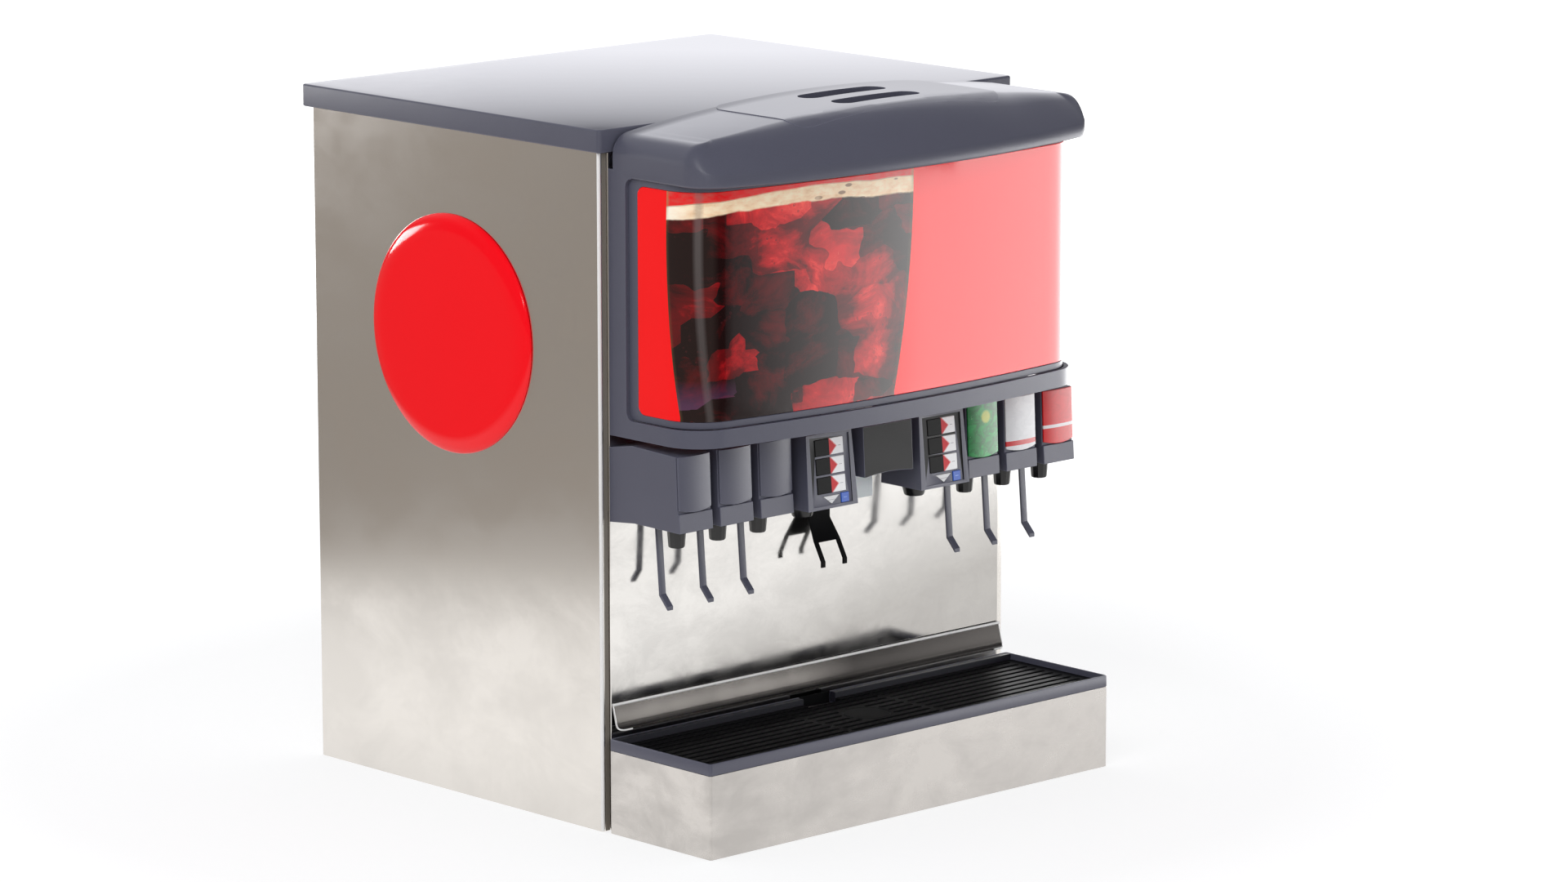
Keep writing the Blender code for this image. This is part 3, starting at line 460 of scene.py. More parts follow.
def make_materials():
    add(steel, "brushed_steel", (0.8, 0.775, 0.745), 0.17, 0.06, 0.015)
    add(steel, "bright_steel", (0.93, 0.92, 0.905), 0.075, 0.06, 0.02, 11.0, 0.86,
        (0.19, 0.33, 0.6))
    add(steel, "tray_steel", (0.66, 0.635, 0.615), 0.24, 0.1, 0.06, 7.0, 0.8)
    add(steel, "steel_rod", (0.72, 0.72, 0.72), 0.22, 0.1, 0.05, 40.0)
    add(apron_sheet, "apron_steel")
    # Folded return: the steel front return drawn as dull grey-brown plastic, a painted shade.
    add(moulded, "folded_return", (0.22, 0.195, 0.165), 0.5, 0.05, 0.0, 0.2)
    # Near-white plastic for steel bends and hems: a painted highlight.
    add(moulded, "polished_edge", (1.0, 0.985, 0.96), 0.25, 0.05, 0.0, 0.8)
    # Darker copy of the slate: painted shade for the pan's shelf under the apron.
    add(moulded, "shade_plastic", (0.018, 0.018, 0.026), 0.4, 0.2, 0.3, 0.3)
    # Slate carries the painted edge highlights and, through haze, the painted sheen on the lid
    # and hood tops.
    add(moulded, "slate_plastic", (0.096, 0.097, 0.133), 0.33, 0.22, 0.8, 0.5, 0.8)
    add(moulded, "black_plastic", (0.006, 0.006, 0.0065), 0.38, 0.2, 0.6, 0.03)
    add(moulded, "nozzle_black", (0.008, 0.008, 0.009), 0.24, 0.1, 0.6, 0.5)
    add(moulded, "label_grey", (0.026, 0.026, 0.026), 0.4, 0.12, 0.0, 0.2)
    add(moulded, "liner_plastic", (0.62, 0.65, 0.68), 0.42, 0.1, 0.1)
    add(moulded, "motor_paint", (0.05, 0.055, 0.06), 0.45, 0.35, 0.5)
    add(glossy, "red_gloss", (0.96, 0.003, 0.01), (0.91, 0.002, 0.008))
    add(circuit, "light_board_white")
    add(key_face, "selector_key")
    add(speckled, "pour_key", (0.8, 0.8, 0.8), (0.45, 0.45, 0.46))
    add(speckled, "water_key", (0.035, 0.13, 0.6), (0.25, 0.42, 0.85))
    add(label, "green_label", (0.02, 0.46, 0.1), (0.006, 0.16, 0.035), (0.55, 0.8, 0.55),
        spot=((0.56, 0.74), 0.17, (0.62, 0.68, 0.1)))
    add(label, "white_label", (0.84, 0.84, 0.845), (0.76, 0.76, 0.77), (0.66, 0.02, 0.025),
        band=(0.1, 0.19))
    add(label, "red_label", (0.8, 0.014, 0.018), (0.7, 0.009, 0.012), (0.88, 0.84, 0.84),
        band=(0.3, 0.36))
    add(foam_block, "foam")
    add(cast, "cast_aluminium")
    add(milky, "translucent_chute")


# ---- mesh helpers ----
def arc(cx, cy, radius, start, end, steps):
    """Points along an arc whose ends are given in quarter turns."""
    angles = [(start + (end - start) * i / steps) * pi / 2 for i in range(steps + 1)]
    return [(cx + radius * cos(a), cy + radius * sin(a)) for a in angles]


def running_lengths(path):
    lengths = [0.0]
    for a, b in zip(path, path[1:]):
        lengths.append(lengths[-1] + (b - a).length)
    return lengths


def loft(rings, wrap=False, bm=None):
    """Skin closed rings, with flat ends unless the last ring joins the first."""
    bm = bmesh.new() if bm is None else bm
    loops = [[bm.verts.new(p) for p in ring] for ring in rings]
    pairs = list(zip(loops[:-1], loops[1:]))
    if wrap:
        pairs.append((loops[-1], loops[0]))
    for low, high in pairs:
        for i in range(len(low)):
            j = (i + 1) % len(low)
            bm.faces.new((low[i], low[j], high[j], high[i]))
    if not wrap:
        bm.faces.new(loops[0])
        bm.faces.new(loops[-1])
    return bm


def prism(outline, axis, low, high):
    place = {"x": lambda a, b, t: (t, a, b), "y": lambda a, b, t: (a, t, b),
             "z": lambda a, b, t: (a, b, t)}[axis]
    return loft([[place(a, b, t) for a, b in outline] for t in (low, high)])


def rounded_rect(x0, x1, y0, y1, radius, steps=8):
    x0, x1, y0, y1 = x0 + radius, x1 - radius, y0 + radius, y1 - radius
    points = []
    for quarter, (cx, cy) in enumerate(((x1, y1), (x0, y1), (x0, y0), (x1, y0))):
        points += arc(cx, cy, radius, quarter, quarter + 1, steps)
    return points


def turned(profile, centre, steps, axis="z"):
    """Solid of revolution from (radius, height) pairs."""
    rings = []
    for radius, height in profile:
        around = arc(*centre, radius, 0, 4 - 4 / steps, steps - 1)
        rings.append([(u, v, height) if axis == "z" else (height, u, v) for u, v in around])
    return loft(rings)


def smooth_path(points, steps):
    """Catmull-Rom curve through 2-D or 3-D points."""
    pts = [Vector(p) for p in points]
    pts = [2 * pts[0] - pts[1]] + pts + [2 * pts[-1] - pts[-2]]
    made = []
    for a, b, c, d in zip(pts, pts[1:], pts[2:], pts[3:]):
        for i in range(steps):
            t = i / steps
            made.append(b + 0.5 * t * ((c - a) + t * (2 * a - 5 * b + 4 * c - d
                        + t * (3 * b - a - 3 * c + d))))
    made.append(pts[-2])
    return made


def tube(points, radius, steps=10, across=(0.3, 0.2, 0.93)):
    """Round bead swept along 3-D points that don't run along the across vector."""
    rings = []
    for i, p in enumerate(points):
        ahead = points[min(i + 1, len(points) - 1)] - points[max(i - 1, 0)]
        side = ahead.normalized().cross(Vector(across)).normalized()
        up = side.cross(ahead.normalized())
        rings.append([p + radius * (side * cos(2 * pi * k / steps)
                                    + up * sin(2 * pi * k / steps)) for k in range(steps)])
    return loft(rings)


def new_object(name, data):
    obj = bpy.data.objects.new(name, data)
    bpy.context.scene.collection.objects.link(obj)
    return obj


def finish_mesh(bm, name, smooth):
    bmesh.ops.remove_doubles(bm, verts=bm.verts, dist=1e-6)
    bmesh.ops.recalc_face_normals(bm, faces=bm.faces)
    mesh = bpy.data.meshes.new(name)
    bm.to_mesh(mesh)
    bm.free()
    mesh.shade_smooth()
    mesh.set_sharp_from_angle(angle=radians(smooth))
    return mesh


def make(name, bm, mats, smooth=32, bevel=0.0, segments=2, body=CABINET, node=None,
         bevel_mat=-1):
    """Turn a bmesh into a piece that rides on a body and may stand for a CAD node."""
    obj = new_object(name, finish_mesh(bm, name, smooth))
    mats = mats if isinstance(mats, list) else [mats]
    for key in mats:
        obj.data.materials.append(MATERIALS[key])
    if bevel:
        add_bevel(obj, bevel, segments, bevel_mat)
    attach(obj, body)
    if node:
        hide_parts(node)
    return obj


def add_bevel(obj, width, segments, material=-1):
    mod = obj.modifiers.new("soft edges", "BEVEL")
    mod.width = width
    mod.segments = segments
    mod.limit_method = "ANGLE"
    mod.angle_limit = radians(32)
    mod.harden_normals = True
    mod.material = material


def boolean(bm, other, operation="DIFFERENCE"):
    """Return bm after a Boolean with other; both are used up."""
    objs = []
    for part in (bm, other):
        bmesh.ops.recalc_face_normals(part, faces=part.faces)
        mesh = bpy.data.meshes.new("operand")
        part.to_mesh(mesh)
        part.free()
        objs.append(new_object("operand", mesh))
    mod = objs[0].modifiers.new("boolean", "BOOLEAN")
    mod.operation = operation
    mod.object = objs[1]
    graph = bpy.context.evaluated_depsgraph_get()
    made = bmesh.new()
    made.from_mesh(bpy.data.meshes.new_from_object(objs[0].evaluated_get(graph)))
    for obj in objs:
        bpy.data.objects.remove(obj)
    return made


def cad_mesh(node):
    """A welded copy of a CAD node's mesh with its flat faces rejoined."""
    bm = bmesh.new()
    bm.from_mesh(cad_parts[node].data)
    bmesh.ops.remove_doubles(bm, verts=bm.verts, dist=2e-6)
    bmesh.ops.dissolve_limit(bm, angle_limit=radians(0.5), verts=bm.verts, edges=bm.edges)
    return bm


def refine(node, mats, bevel, body=CABINET, segments=2, bevel_mat=-1,
           paint=None):
    """A piece made from a CAD node's own shape, with its edges softened."""
    bm = cad_mesh(node)
    if paint:
        for face in bm.faces:
            face.material_index = paint(face)
    make(node + ".soft", bm, mats, 30, bevel, segments, body, node, bevel_mat)


def block(low, high):
    (x0, y0, z0), (x1, y1, z1) = low, high
    return prism([(x0, y0), (x1, y0), (x1, y1), (x0, y1)], "z", z0, z1)


# ---- cabinet ----
def open_wrap(half, front, back, radius, flange, steps=8):
    """Plan path of the folded cabinet wrap, from one front return to the other."""
    path = [(-half + flange, front)]
    path += arc(-half + radius, front + radius, radius, -1, -2, steps)
    path += arc(-half + radius, back - radius, radius, -2, -3, steps)
    return path + [(-x, y) for x, y in reversed(path)]


def build_cabinet():
    half, radius, flange = CAB_HI.x, 0.005, 0.0128
    outer = open_wrap(half, CAB_FRONT, CAB_HI.y, radius, flange)
    inner = open_wrap(half - SHEET, CAB_FRONT + SHEET, CAB_HI.y - SHEET, radius - SHEET,
                      flange - SHEET)
    make("cabinet_shell", prism(outer + inner[::-1], "z", 0.0, CAB_HI.z), "brushed_steel", 25,
         0.0003, node="cabinet_wrap")
    r = 0.0028
    # The rounded front corner is drawn near-white: a painted highlight.
    bend = arc(CAB_LO.x + r, CAB_FRONT + r, r, 0, 3.75, 15)
    make("cabinet_bend", prism(bend, "z", 0.001, CAB_HI.z - 0.001), "polished_edge", 40)
    # The front return, drawn in a dull grey-brown: painted shade.
    strip = block((CAB_LO.x + 2 * r, CAB_FRONT - 0.0004, 0.001),
                  (CAB_LO.x + flange, CAB_FRONT - 0.0001, CAB_HI.z - 0.001))
    make("cabinet_return", strip, "folded_return", 30)
    refine("base_pan", "brushed_steel", 0.0006)
    build_back_screws()
    build_splash()
    build_apron()
    build_badge()
    build_lid()


def build_back_screws():
    """Low pan-head screws that hold the wrap's back to the frame."""
    spots = [(x, z) for x in (-0.365, 0.0, 0.365) for z in (0.022, 0.47, 0.905)]
    rise = 0.0022
    bm = bmesh.new()
    for x, z in spots:
        rings = []
        for i in range(5):
            a = pi / 2 * i / 4
            around = arc(x, z, 0.0045 * cos(a) + 0.0006, 0, 3.75, 15)
            rings.append([(u, CAB_HI.y + rise * sin(a), v) for u, v in around])
        loft(rings, bm=bm)
    make("back_screws", bm, "steel_rod", 40)


def build_splash():
    lo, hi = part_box("splash_panel")
    half, front, back, radius = hi.x, lo.y, CAB_FRONT - 0.0004, 0.0014
    path = [(-half, back)] + arc(-half + radius, front + radius, radius, 2, 3, 6)
    path += [(-x, y) for x, y in reversed(path)]
    inner = [(x * (1 - SHEET / half), y + SHEET if y < front + radius else y)
             for x, y in path]
    bm = prism(path + inner[::-1], "z", lo.z, hi.z)
    chute_lo, chute_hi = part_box("ice_chute")
    hole = block((chute_lo.x - 0.001, front - 0.01, 0.596),
                 (chute_hi.x + 0.001, front + 0.01, 0.661))
    make("splash_sheet", boolean(bm, hole), "bright_steel", 25, node="splash_panel")


def build_apron():
    """Folded apron: thick top hem, leaning face with a crease, curled and rounded foot."""
    _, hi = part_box("splash_apron")
    y0 = hi.y
    spine = smooth_path([(y0 - 0.0012, hi.z), (y0 - 0.0042, 0.1655), (y0 - 0.0083, 0.15),
                         (y0 - 0.01, 0.1455), (y0 - 0.0125, 0.1426),
                         (y0 - 0.0164, 0.1412)], 6)
    lengths = running_lengths(spine)
    total, corner = lengths[-1], 0.01

    def at(distance):
        return Vector([interp(distance, lengths, [p[k] for p in spine]) for k in (0, 1)])

    half = hi.x
    offsets = [corner * (1 - cos(i * pi / 16)) for i in range(9)]
    xs = [-half + d for d in offsets]
    xs += [-half + corner + (2 * half - 2 * corner) * i / 12 for i in range(1, 12)]
    xs += [half - d for d in reversed(offsets)]
    bm = bmesh.new()
    columns = []
    for x in xs:
        inset = min(half - abs(x), corner)
        end = total - corner + sqrt(max(corner ** 2 - (corner - inset) ** 2, 0.0))
        column = []
        for k in range(15):
            p = at(end * k / 14)
            column.append(bm.verts.new((x, p.x, p.y)))
        columns.append(column)
    for a, b in zip(columns, columns[1:]):
        for k in range(14):
            bm.faces.new((a[k], a[k + 1], b[k + 1], b[k]))
    obj = make("apron_fold", bm, "apron_steel", 40, node="splash_apron")
    mod = obj.modifiers.new("sheet", "SOLIDIFY")
    mod.thickness = 0.0014
    mod.offset = 0.0
    add_bevel(obj, 0.0004, 2)
    # The top hem and the rolled ends below are drawn near-white: a painted highlight.
    hem = arc(y0 - 0.0023, hi.z - 0.002, 0.002, 0, 11 / 3, 11)
    make("apron_hem", prism(hem, "x", -half + 0.0002, half - 0.0002), "polished_edge", 40)
    for side, name in ((-1, "left"), (1, "right")):
        edge = [Vector((side * half, at(total * i / 20).x, at(total * i / 20).y))
                for i in range(int(20 * (total - corner) / total) + 1)]
        for i in range(1, 9):
            a = pi / 2 * i / 8
            p = at(total - corner + corner * sin(a))
            edge.append(Vector((side * (half - corner * (1 - cos(a))), p.x, p.y)))
        tip = edge[-1]
        edge.append(Vector((tip.x - side * 0.012, tip.y, tip.z)))
        edge = [p + Vector((-side * 0.0011, 0, 0)) for p in edge]
        make("apron_hem_" + name, tube(edge, 0.0012), "polished_edge", 50)


def build_badge():
    """Round dome: a slight crown and a full quarter-round rim."""
    lo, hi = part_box("side_badge")
    radius = (hi.y - lo.y) / 2
    centre = ((hi.y + lo.y) / 2, (hi.z + lo.z) / 2)
    rim, depth, crown = 0.034, 0.0106, hi.x - lo.x - 0.0106
    profile = [(0.001, hi.x), (radius - 0.002, hi.x), (radius - 0.0004, hi.x - 0.0004)]
    for i in range(13):
        a = pi / 2 * i / 12
        profile.append((radius - rim + rim * cos(a), hi.x - 0.0005 - (depth - 0.0005) * sin(a)))
    for i in range(1, 10):
        r = (radius - rim) * (1 - i / 10)
        profile.append((r, hi.x - depth - crown * (1 - (r / (radius - rim)) ** 2)))
    profile.append((0.001, hi.x - depth - crown))
    make("badge_dome", turned(profile, centre, 128, "x"), "red_gloss", 40,
         node="side_badge")


def build_lid():
    lo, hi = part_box("lid")
    rings = []
    wall, corner = 0.0045, 0.0065

    def ring(inset, z):
        outline = rounded_rect(lo.x + inset, hi.x - inset, lo.y + inset, hi.y - inset,
                               max(corner - inset * 0.6, 0.002))
        rings.append([(x, y, z) for x, y in outline])

    ring(0.02, hi.z - 0.005)
    ring(wall + 0.002, hi.z - 0.005)
    ring(wall, hi.z - 0.007)
    ring(wall, lo.z)
    ring(0.0012, lo.z)
    ring(0.0, lo.z + 0.0012)
    ring(0.0, hi.z - 0.003)
    for i in range(1, 6):
        a = pi / 2 * i / 5
        ring(0.003 * (1 - cos(a)), hi.z - 0.003 + 0.003 * sin(a))
    ring(0.02, hi.z)
    make("lid_moulding", loft(rings), "slate_plastic", 40, body="lid", node="lid")


# ---- drip tray ----
def tray_ring(inset, z, radius):
    outline = rounded_rect(TRAY_LO.x + inset, TRAY_HI.x - inset, TRAY_LO.y + inset,
                           TRAY_HI.y - inset, radius, 6)
    return [(x, y, z) for x, y in outline]


def build_tray():
    radius, top = 0.004, TRAY_HI.z
    bm = loft([tray_ring(0.0, 0.0, radius), tray_ring(0.0, top, radius),
               tray_ring(SHEET, top, radius - SHEET), tray_ring(SHEET, 0.0, radius - SHEET)],
              wrap=True)
    make("tray_shell", bm, "tray_steel", 25, 0.0003, node="tray_skirt")

    rim, seat, wall = RIM_TOP, REST_LO.z - 0.0004, 0.0028
    steps = [(0.0045, 0.078), (0.0045, top + 0.0003), (0.0004, top + 0.0003),
             (0.0, top + 0.0007), (0.0, rim - 0.0012), (0.0004, rim - 0.0004),
             (0.0012, rim), (0.002, rim), (0.0026, rim - 0.0004), (wall, rim - 0.0012),
             (wall + 0.0003, seat), (0.0095, seat), (0.01, seat - 0.0006),
             (0.013, 0.086), (0.015, 0.0815), (0.02, 0.08)]
    bm = loft([tray_ring(inset, z, radius) for inset, z in steps])
    back, behind = REST_HI.y + 0.0003, TRAY_HI.y
    gap = (-0.03, -0.3345, seat - 0.012), (0.03, behind + 0.01, rim + 0.02)
    # The pan's rear shelf, drawn in painted shade under the apron's overhang.
    shelf = block((TRAY_LO.x + wall, back, top + 0.0006),
                  (TRAY_HI.x - wall, behind - 0.001, rim - 0.0006))
    make("drip_pan_rear_wall", boolean(shelf, block(*gap)), "shade_plastic", 30, 0.0005)
    # A black plate at the back of the notch: painted shade that keeps the notch dark.
    shade_plate = block((-0.03, behind - 0.0009, seat - 0.011), (0.03, behind - 0.0002, rim))
    make("drip_pan_notch_shade", shade_plate, "black_plastic", 30, 0.0002)
    bm = boolean(bm, block(*gap))
    drain = turned([(0.011, 0.07), (0.011, 0.0795), (0.014, 0.0815)], (0.0, -0.38), 32)
    bm = boolean(bm, drain)
    make("drip_pan_moulding", bm, "slate_plastic", 35, node="drip_pan")
    build_cup_rest()


def build_cup_rest():
    """Black slotted grille with a plain disc inside a fine ring groove."""
    lo, hi = REST_LO, REST_HI
    bm = prism(rounded_rect(lo.x, hi.x, lo.y, hi.y, 0.0045, 5), "z", lo.z, hi.z)
    cutter = bmesh.new()
    pitch, width, middle, end = 0.0173, 0.0066, -0.405, 0.36
    seam, disc_y, disc_r = 0.0865, -0.417, 0.0345
    for k in range(9):
        y = middle + pitch * (k - 4)
        spans = [(-end, -seam - 0.0035), (seam + 0.0035, end)]
        off = max(abs(y - disc_y) - width / 2, 0.0)
        inner = seam - 0.0035
        if off < disc_r:
            edge = sqrt(disc_r ** 2 - off ** 2) + 0.002
            spans += [(-inner, -edge), (edge, inner)]
        else:
            spans.append((-inner, inner))
        for x0, x1 in spans:
            slot = rounded_rect(x0, x1, y - width / 2, y + width / 2, width / 2 - 0.0002, 4)
            loft([[(x, v, z) for x, v in slot] for z in (lo.z - 0.01, hi.z + 0.01)], bm=cutter)
    bm = boolean(bm, cutter)
    bm = boolean(bm, block((-0.03, -0.333, lo.z - 0.01), (0.03, hi.y + 0.01, hi.z + 0.01)))
    rings = []
    for r, z in ((0.0318, hi.z + 0.001), (0.0318, hi.z - 0.0009), (0.033, hi.z - 0.0009),
                 (0.033, hi.z + 0.001)):
        rings.append([(x, y, z) for x, y in arc(0.0, disc_y, r, 0, 3.9375, 63)])
    bm = boolean(bm, loft(rings, wrap=True))
    for side in (-1, 1):
        x = side * seam
        line = block((x - 0.0005, lo.y + 0.004, hi.z - 0.0008),
                     (x + 0.0005, hi.y - 0.002, hi.z + 0.001))
        bm = boolean(bm, line)
    make("cup_rest_grille", bm, "black_plastic", 35, 0.0004, 1, "cup_rest", "cup_rest")


# ---- merchandiser ----
def bow_path(half, depth, bow, corner, back, corner_steps=14, bow_steps=48):
    """Plan points and outward normals from the back left, round the bow, to the right."""
    centre_y = CAB_FRONT - depth + bow
    cx = half - corner
    cy = centre_y - sqrt((bow - corner) ** 2 - cx ** 2)
    spread = asin(cx / (bow - corner))
    path = [(Vector((-half, back)), Vector((-1.0, 0.0)))]
    for i in range(corner_steps + 1):
        a = pi + (pi / 2 - spread) * i / corner_steps
        n = Vector((cos(a), sin(a)))
        path.append((Vector((-cx, cy)) + corner * n, n))
    for i in range(1, bow_steps // 2):
        a = spread * (2 * i / bow_steps - 1)
        n = Vector((sin(a), -cos(a)))
        path.append((Vector((0.0, centre_y)) + bow * n, n))
    middle = (Vector((0.0, centre_y - bow)), Vector((0.0, -1.0)))
    mirrored = [(Vector((-p.x, p.y)), Vector((-n.x, n.y))) for p, n in reversed(path)]
    return path + [middle] + mirrored


def bow_band(half, depth, bow, corner, back, thickness):
    outer = [p for p, _ in bow_path(half, depth, bow, corner, back)]
    inner = [p for p, _ in bow_path(half - thickness, depth - thickness, bow,
                                    corner - thickness, back)]
    return [(p.x, p.y) for p in outer + inner[::-1]]


def ease(value, low, high):
    t = min(max((value - low) / (high - low), 0.0), 1.0)
    return t * t * (3 - 2 * t)


def crown(x):
    """Height of the hood's arched raised land across its width."""
    return HOUSING_HI.z - x * x / 4.8


def hood_section(point, normal, steps=18):
    """(inset, height) points from the hood's lip up to its shoulder at one plan point."""
    front = ease(-normal.y, 0.15, 0.95)
    middle = 1.0 - ease(abs(point.x), 0.2, 0.33)
    reach = 0.028 + 0.014 * front + 0.02 * middle * front
    lip, shoulder = 0.912, 0.03
    end = pi / 2 - abs(point.x) / 2.4
    width = shoulder * (1 - cos(end))
    width += (reach - width) * front
    top = crown(point.x - normal.x * width) - LAND_STEP
    section = []
    for i in range(steps + 1):
        t = i / steps
        a = end * t
        side = (shoulder * (1 - cos(a)), top - shoulder * (sin(end) - sin(a)))
        b = ((1 - t) ** 3, 3 * t * (1 - t) ** 2, 3 * t * t * (1 - t), t ** 3)
        rise = top - lip
        slope = (reach * (b[1] * 0.161 + b[2] * 0.548 + b[3]),
                 lip + rise * (b[1] * 0.294 + b[2] * 0.882 + b[3]))
        inset = side[0] + (slope[0] - side[0]) * front
        section.append((inset, side[1] + (slope[1] - side[1]) * front))
    return section


def hood_solid():
    path = bow_path(HOUSING_HI.x, 0.239, 1.28, 0.048, -0.313)
    bottom = 0.895
    foot = [(0.0028, bottom), (0.0012, bottom + 0.0005), (0.0003, bottom + 0.0016),
            (0.0, bottom + 0.0032)]
    bm = bmesh.new()
    columns = []
    for point, normal in path:
        column = []
        for inset, z in foot + hood_section(point, normal):
            p = point - normal * inset
            column.append(bm.verts.new((p.x, p.y, z)))
        columns.append(column)
    for a, b in zip(columns, columns[1:]):
        for k in range(len(a) - 1):
            bm.faces.new((a[k], a[k + 1], b[k + 1], b[k]))
    tops = [column[-1] for column in columns]
    spine = [tops[0]] + [bm.verts.new((v.co.x, tops[0].co.y, v.co.z)) for v in tops[2:-2]]
    spine.append(tops[-1])
    for i in range(len(spine) - 1):
        bm.faces.new((tops[i + 1], tops[i + 2], spine[i + 1], spine[i]))
    bm.faces.new(columns[0] + spine[1:-1] + columns[-1][::-1])
    bm.faces.new([column[0] for column in columns])
    return bm


def hood_land():
    """Raised middle of the hood's top: its step fades out towards the rounded front."""
    half, front, back = 0.197, -0.488, -0.3125
    bm = hood_solid()
    for y in (-0.482, -0.476, -0.468, -0.458, -0.448, -0.438):
        bmesh.ops.bisect_plane(bm, geom=bm.verts[:] + bm.edges[:] + bm.faces[:],
                               plane_co=(0, y, 0), plane_no=(0, 1, 0))
    for v in bm.verts:
        if v.co.z > 0.94:
            v.co.z += 0.0002 + (LAND_STEP - 0.0002) * ease(v.co.y, front, -0.445)
    plan = rounded_rect(-half, half, front, back, 0.03, 10)
    return boolean(bm, prism(plan, "z", 0.945, 1.1), "INTERSECT")


def build_housing():
    bm = hood_solid()
    bm = boolean(bm, hood_land(), "UNION")
    for y in (-0.367, -0.433):
        rings = []
        for grow, z in ((-0.006, 0.95), (-0.002, 0.953), (0.0, 0.96), (0.0, 1.0)):
            outline = rounded_rect(-0.0755 - grow, 0.0755 + grow, y - 0.0185 - grow,
                                   y + 0.0185 + grow, 0.0182 + grow, 10)
            rings.append([(px, py, z) for px, py in outline])
        bm = boolean(bm, loft(rings))
    half, back = HOUSING_HI.x, -0.3036
    band = bow_band(half, 0.197, 2.3, 0.06, back, 0.0065)
    rail = prism(band, "z", HOUSING_LO.z, 0.569)
    bm = boolean(bm, rail, "UNION")
    round_in, cheek = 0.012, PANEL_HI.y + 0.0173
    for side in (-1, 1):
        outline = [(back, 0.556), (cheek - round_in, 0.564)]
        outline += arc(cheek - round_in, 0.569 + round_in, round_in, -1, 0, 6)
        outline += arc(cheek - round_in, 0.895 - round_in, round_in, 0, 1, 6)
        outline += [(cheek - round_in, 0.9), (-0.32, 0.904), (back, 0.904)]
        x = sorted((side * half, side * (half - 0.0058)))
        bm = boolean(bm, prism(outline, "x", x[0], x[1]), "UNION")
    bmesh.ops.dissolve_limit(bm, angle_limit=radians(0.1), verts=bm.verts, edges=bm.edges)
    make("merchandiser_hood", bm, "slate_plastic", 32, 0.0012, 3,
         node="merchandiser_housing")


def window_outline(low, high, side, radius=0.013):
    """(y, z) outline that rounds the window's corners where they sit on the sides."""
    outline = [(-0.6, low), (side - radius, low)]
    outline += arc(side - radius, low + radius, radius, -1, 0, 8)
    outline += arc(side - radius, high - radius, radius, 0, 1, 8)
    return outline + [(-0.6, high)]


def build_display():
    half, depth = BEZEL_HI.x, CAB_FRONT - BEZEL_LO.y
    side = PANEL_HI.y + 0.0003
    window = (PANEL_LO.z - 0.0003, PANEL_HI.z + 0.0003)
    band = bow_band(half, depth, 2.3, 0.06, BEZEL_HI.y, 0.006)
    bm = prism(band, "z", BEZEL_LO.z, BEZEL_HI.z)
    bm = boolean(bm, prism(window_outline(*window, side), "x", -0.5, 0.5))
    make("display_frame", bm, "slate_plastic", 30, 0.0012, 3, node="display_bezel")

    half, depth = PANEL_HI.x, CAB_FRONT - PANEL_LO.y
    band = bow_band(half, depth, 2.3, 0.06, side - 0.0006, 0.003)
    bm = prism(band, "z", PANEL_LO.z - 0.01, PANEL_HI.z + 0.01)
    keep = window_outline(PANEL_LO.z, PANEL_HI.z, PANEL_HI.y, 0.0127)
    bm = boolean(bm, prism(keep, "x", -0.5, 0.5), "INTERSECT")
    path = [p for p, _ in bow_path(half, depth, 2.3, 0.06, PANEL_HI.y)]
    lengths = running_lengths(path)
    half_arc = lengths[-1] / 2
    layer = bm.loops.layers.uv.new("picture")
    for face in bm.faces:
        for loop in face.loops:
            p = loop.vert.co.xy
            along = nearest_along(p, path, lengths)
            up = (loop.vert.co.z - PANEL_LO.z) / (PANEL_HI.z - PANEL_LO.z)
            loop[layer].uv = (along / (2 * half_arc), up)
    add(drink_picture, "display_film", half_arc, PANEL_LO.z, PANEL_HI.z)
    make("display_film_panel", bm, "display_film", 30, 0.0006, node="display_panel")
    refine("light_board", "light_board_white", 0.0005)


def nearest_along(p, path, lengths):
    """Distance along a polyline of its point nearest to p."""
    best = (1e9, 0.0)
    for i, (a, b) in enumerate(zip(path, path[1:])):
        ab = b - a
        t = min(max((p - a).dot(ab) / ab.length_squared, 0.0), 1.0)
        gap = (a + ab * t - p).length
        if gap < best[0]:
            best = (gap, lengths[i] + ab.length * t)
    return best[1]


# ---- valves ----
def build_valves():
    lip = [(0.0075, 0.01), (0.008, 0.001), (0.0086, 0.0002), (0.0096, 0.0),
           (0.0106, 0.0006), (0.0112, 0.002)]
    for i in VALVES:
        refine(f"valve_cover_{i}", "slate_plastic", 0.0009, segments=3)
        build_label(i)
        build_nozzle(f"nozzle_{i}", lip, 0.0275, 0.038, 0.0015, 48, 0.055, 20)
        refine(f"valve_lever_{i}", "slate_plastic", 0.0005, f"lever_{i}")


def build_label(i):
    """Snap-in label plate: bowed outwards, with a curved lower edge."""
    node = f"label_plate_{i}"
    lo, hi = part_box(node)
    x, half = (lo.x + hi.x) / 2, (hi.x - lo.x) / 2
    lean = atan2(0.0034, 0.077)
    bow, columns, rows = 0.0032, 20, 6
    rings = []
    for k in range(rows + 1):
        share = k / rows
        front, rear = [], []
        for c in range(columns + 1):
            t = 2 * c / columns - 1
            z = lo.z + (hi.z - lo.z) * share + 0.004 * t * t * (1 - share)
            y = hi.y - (hi.z - z) * lean
            front.append((x + half * t, y - 0.0024 - bow * (1 - t * t), z))
            rear.append((x + half * t, y - 0.0002, z))
        rings.append(front + rear[::-1])
    print_of = {4: "green_label", 5: "white_label", 6: "red_label"}
    make(node + ".plate", loft(rings), print_of.get(i, "slate_plastic"), 35, 0.0005,
         node=node)


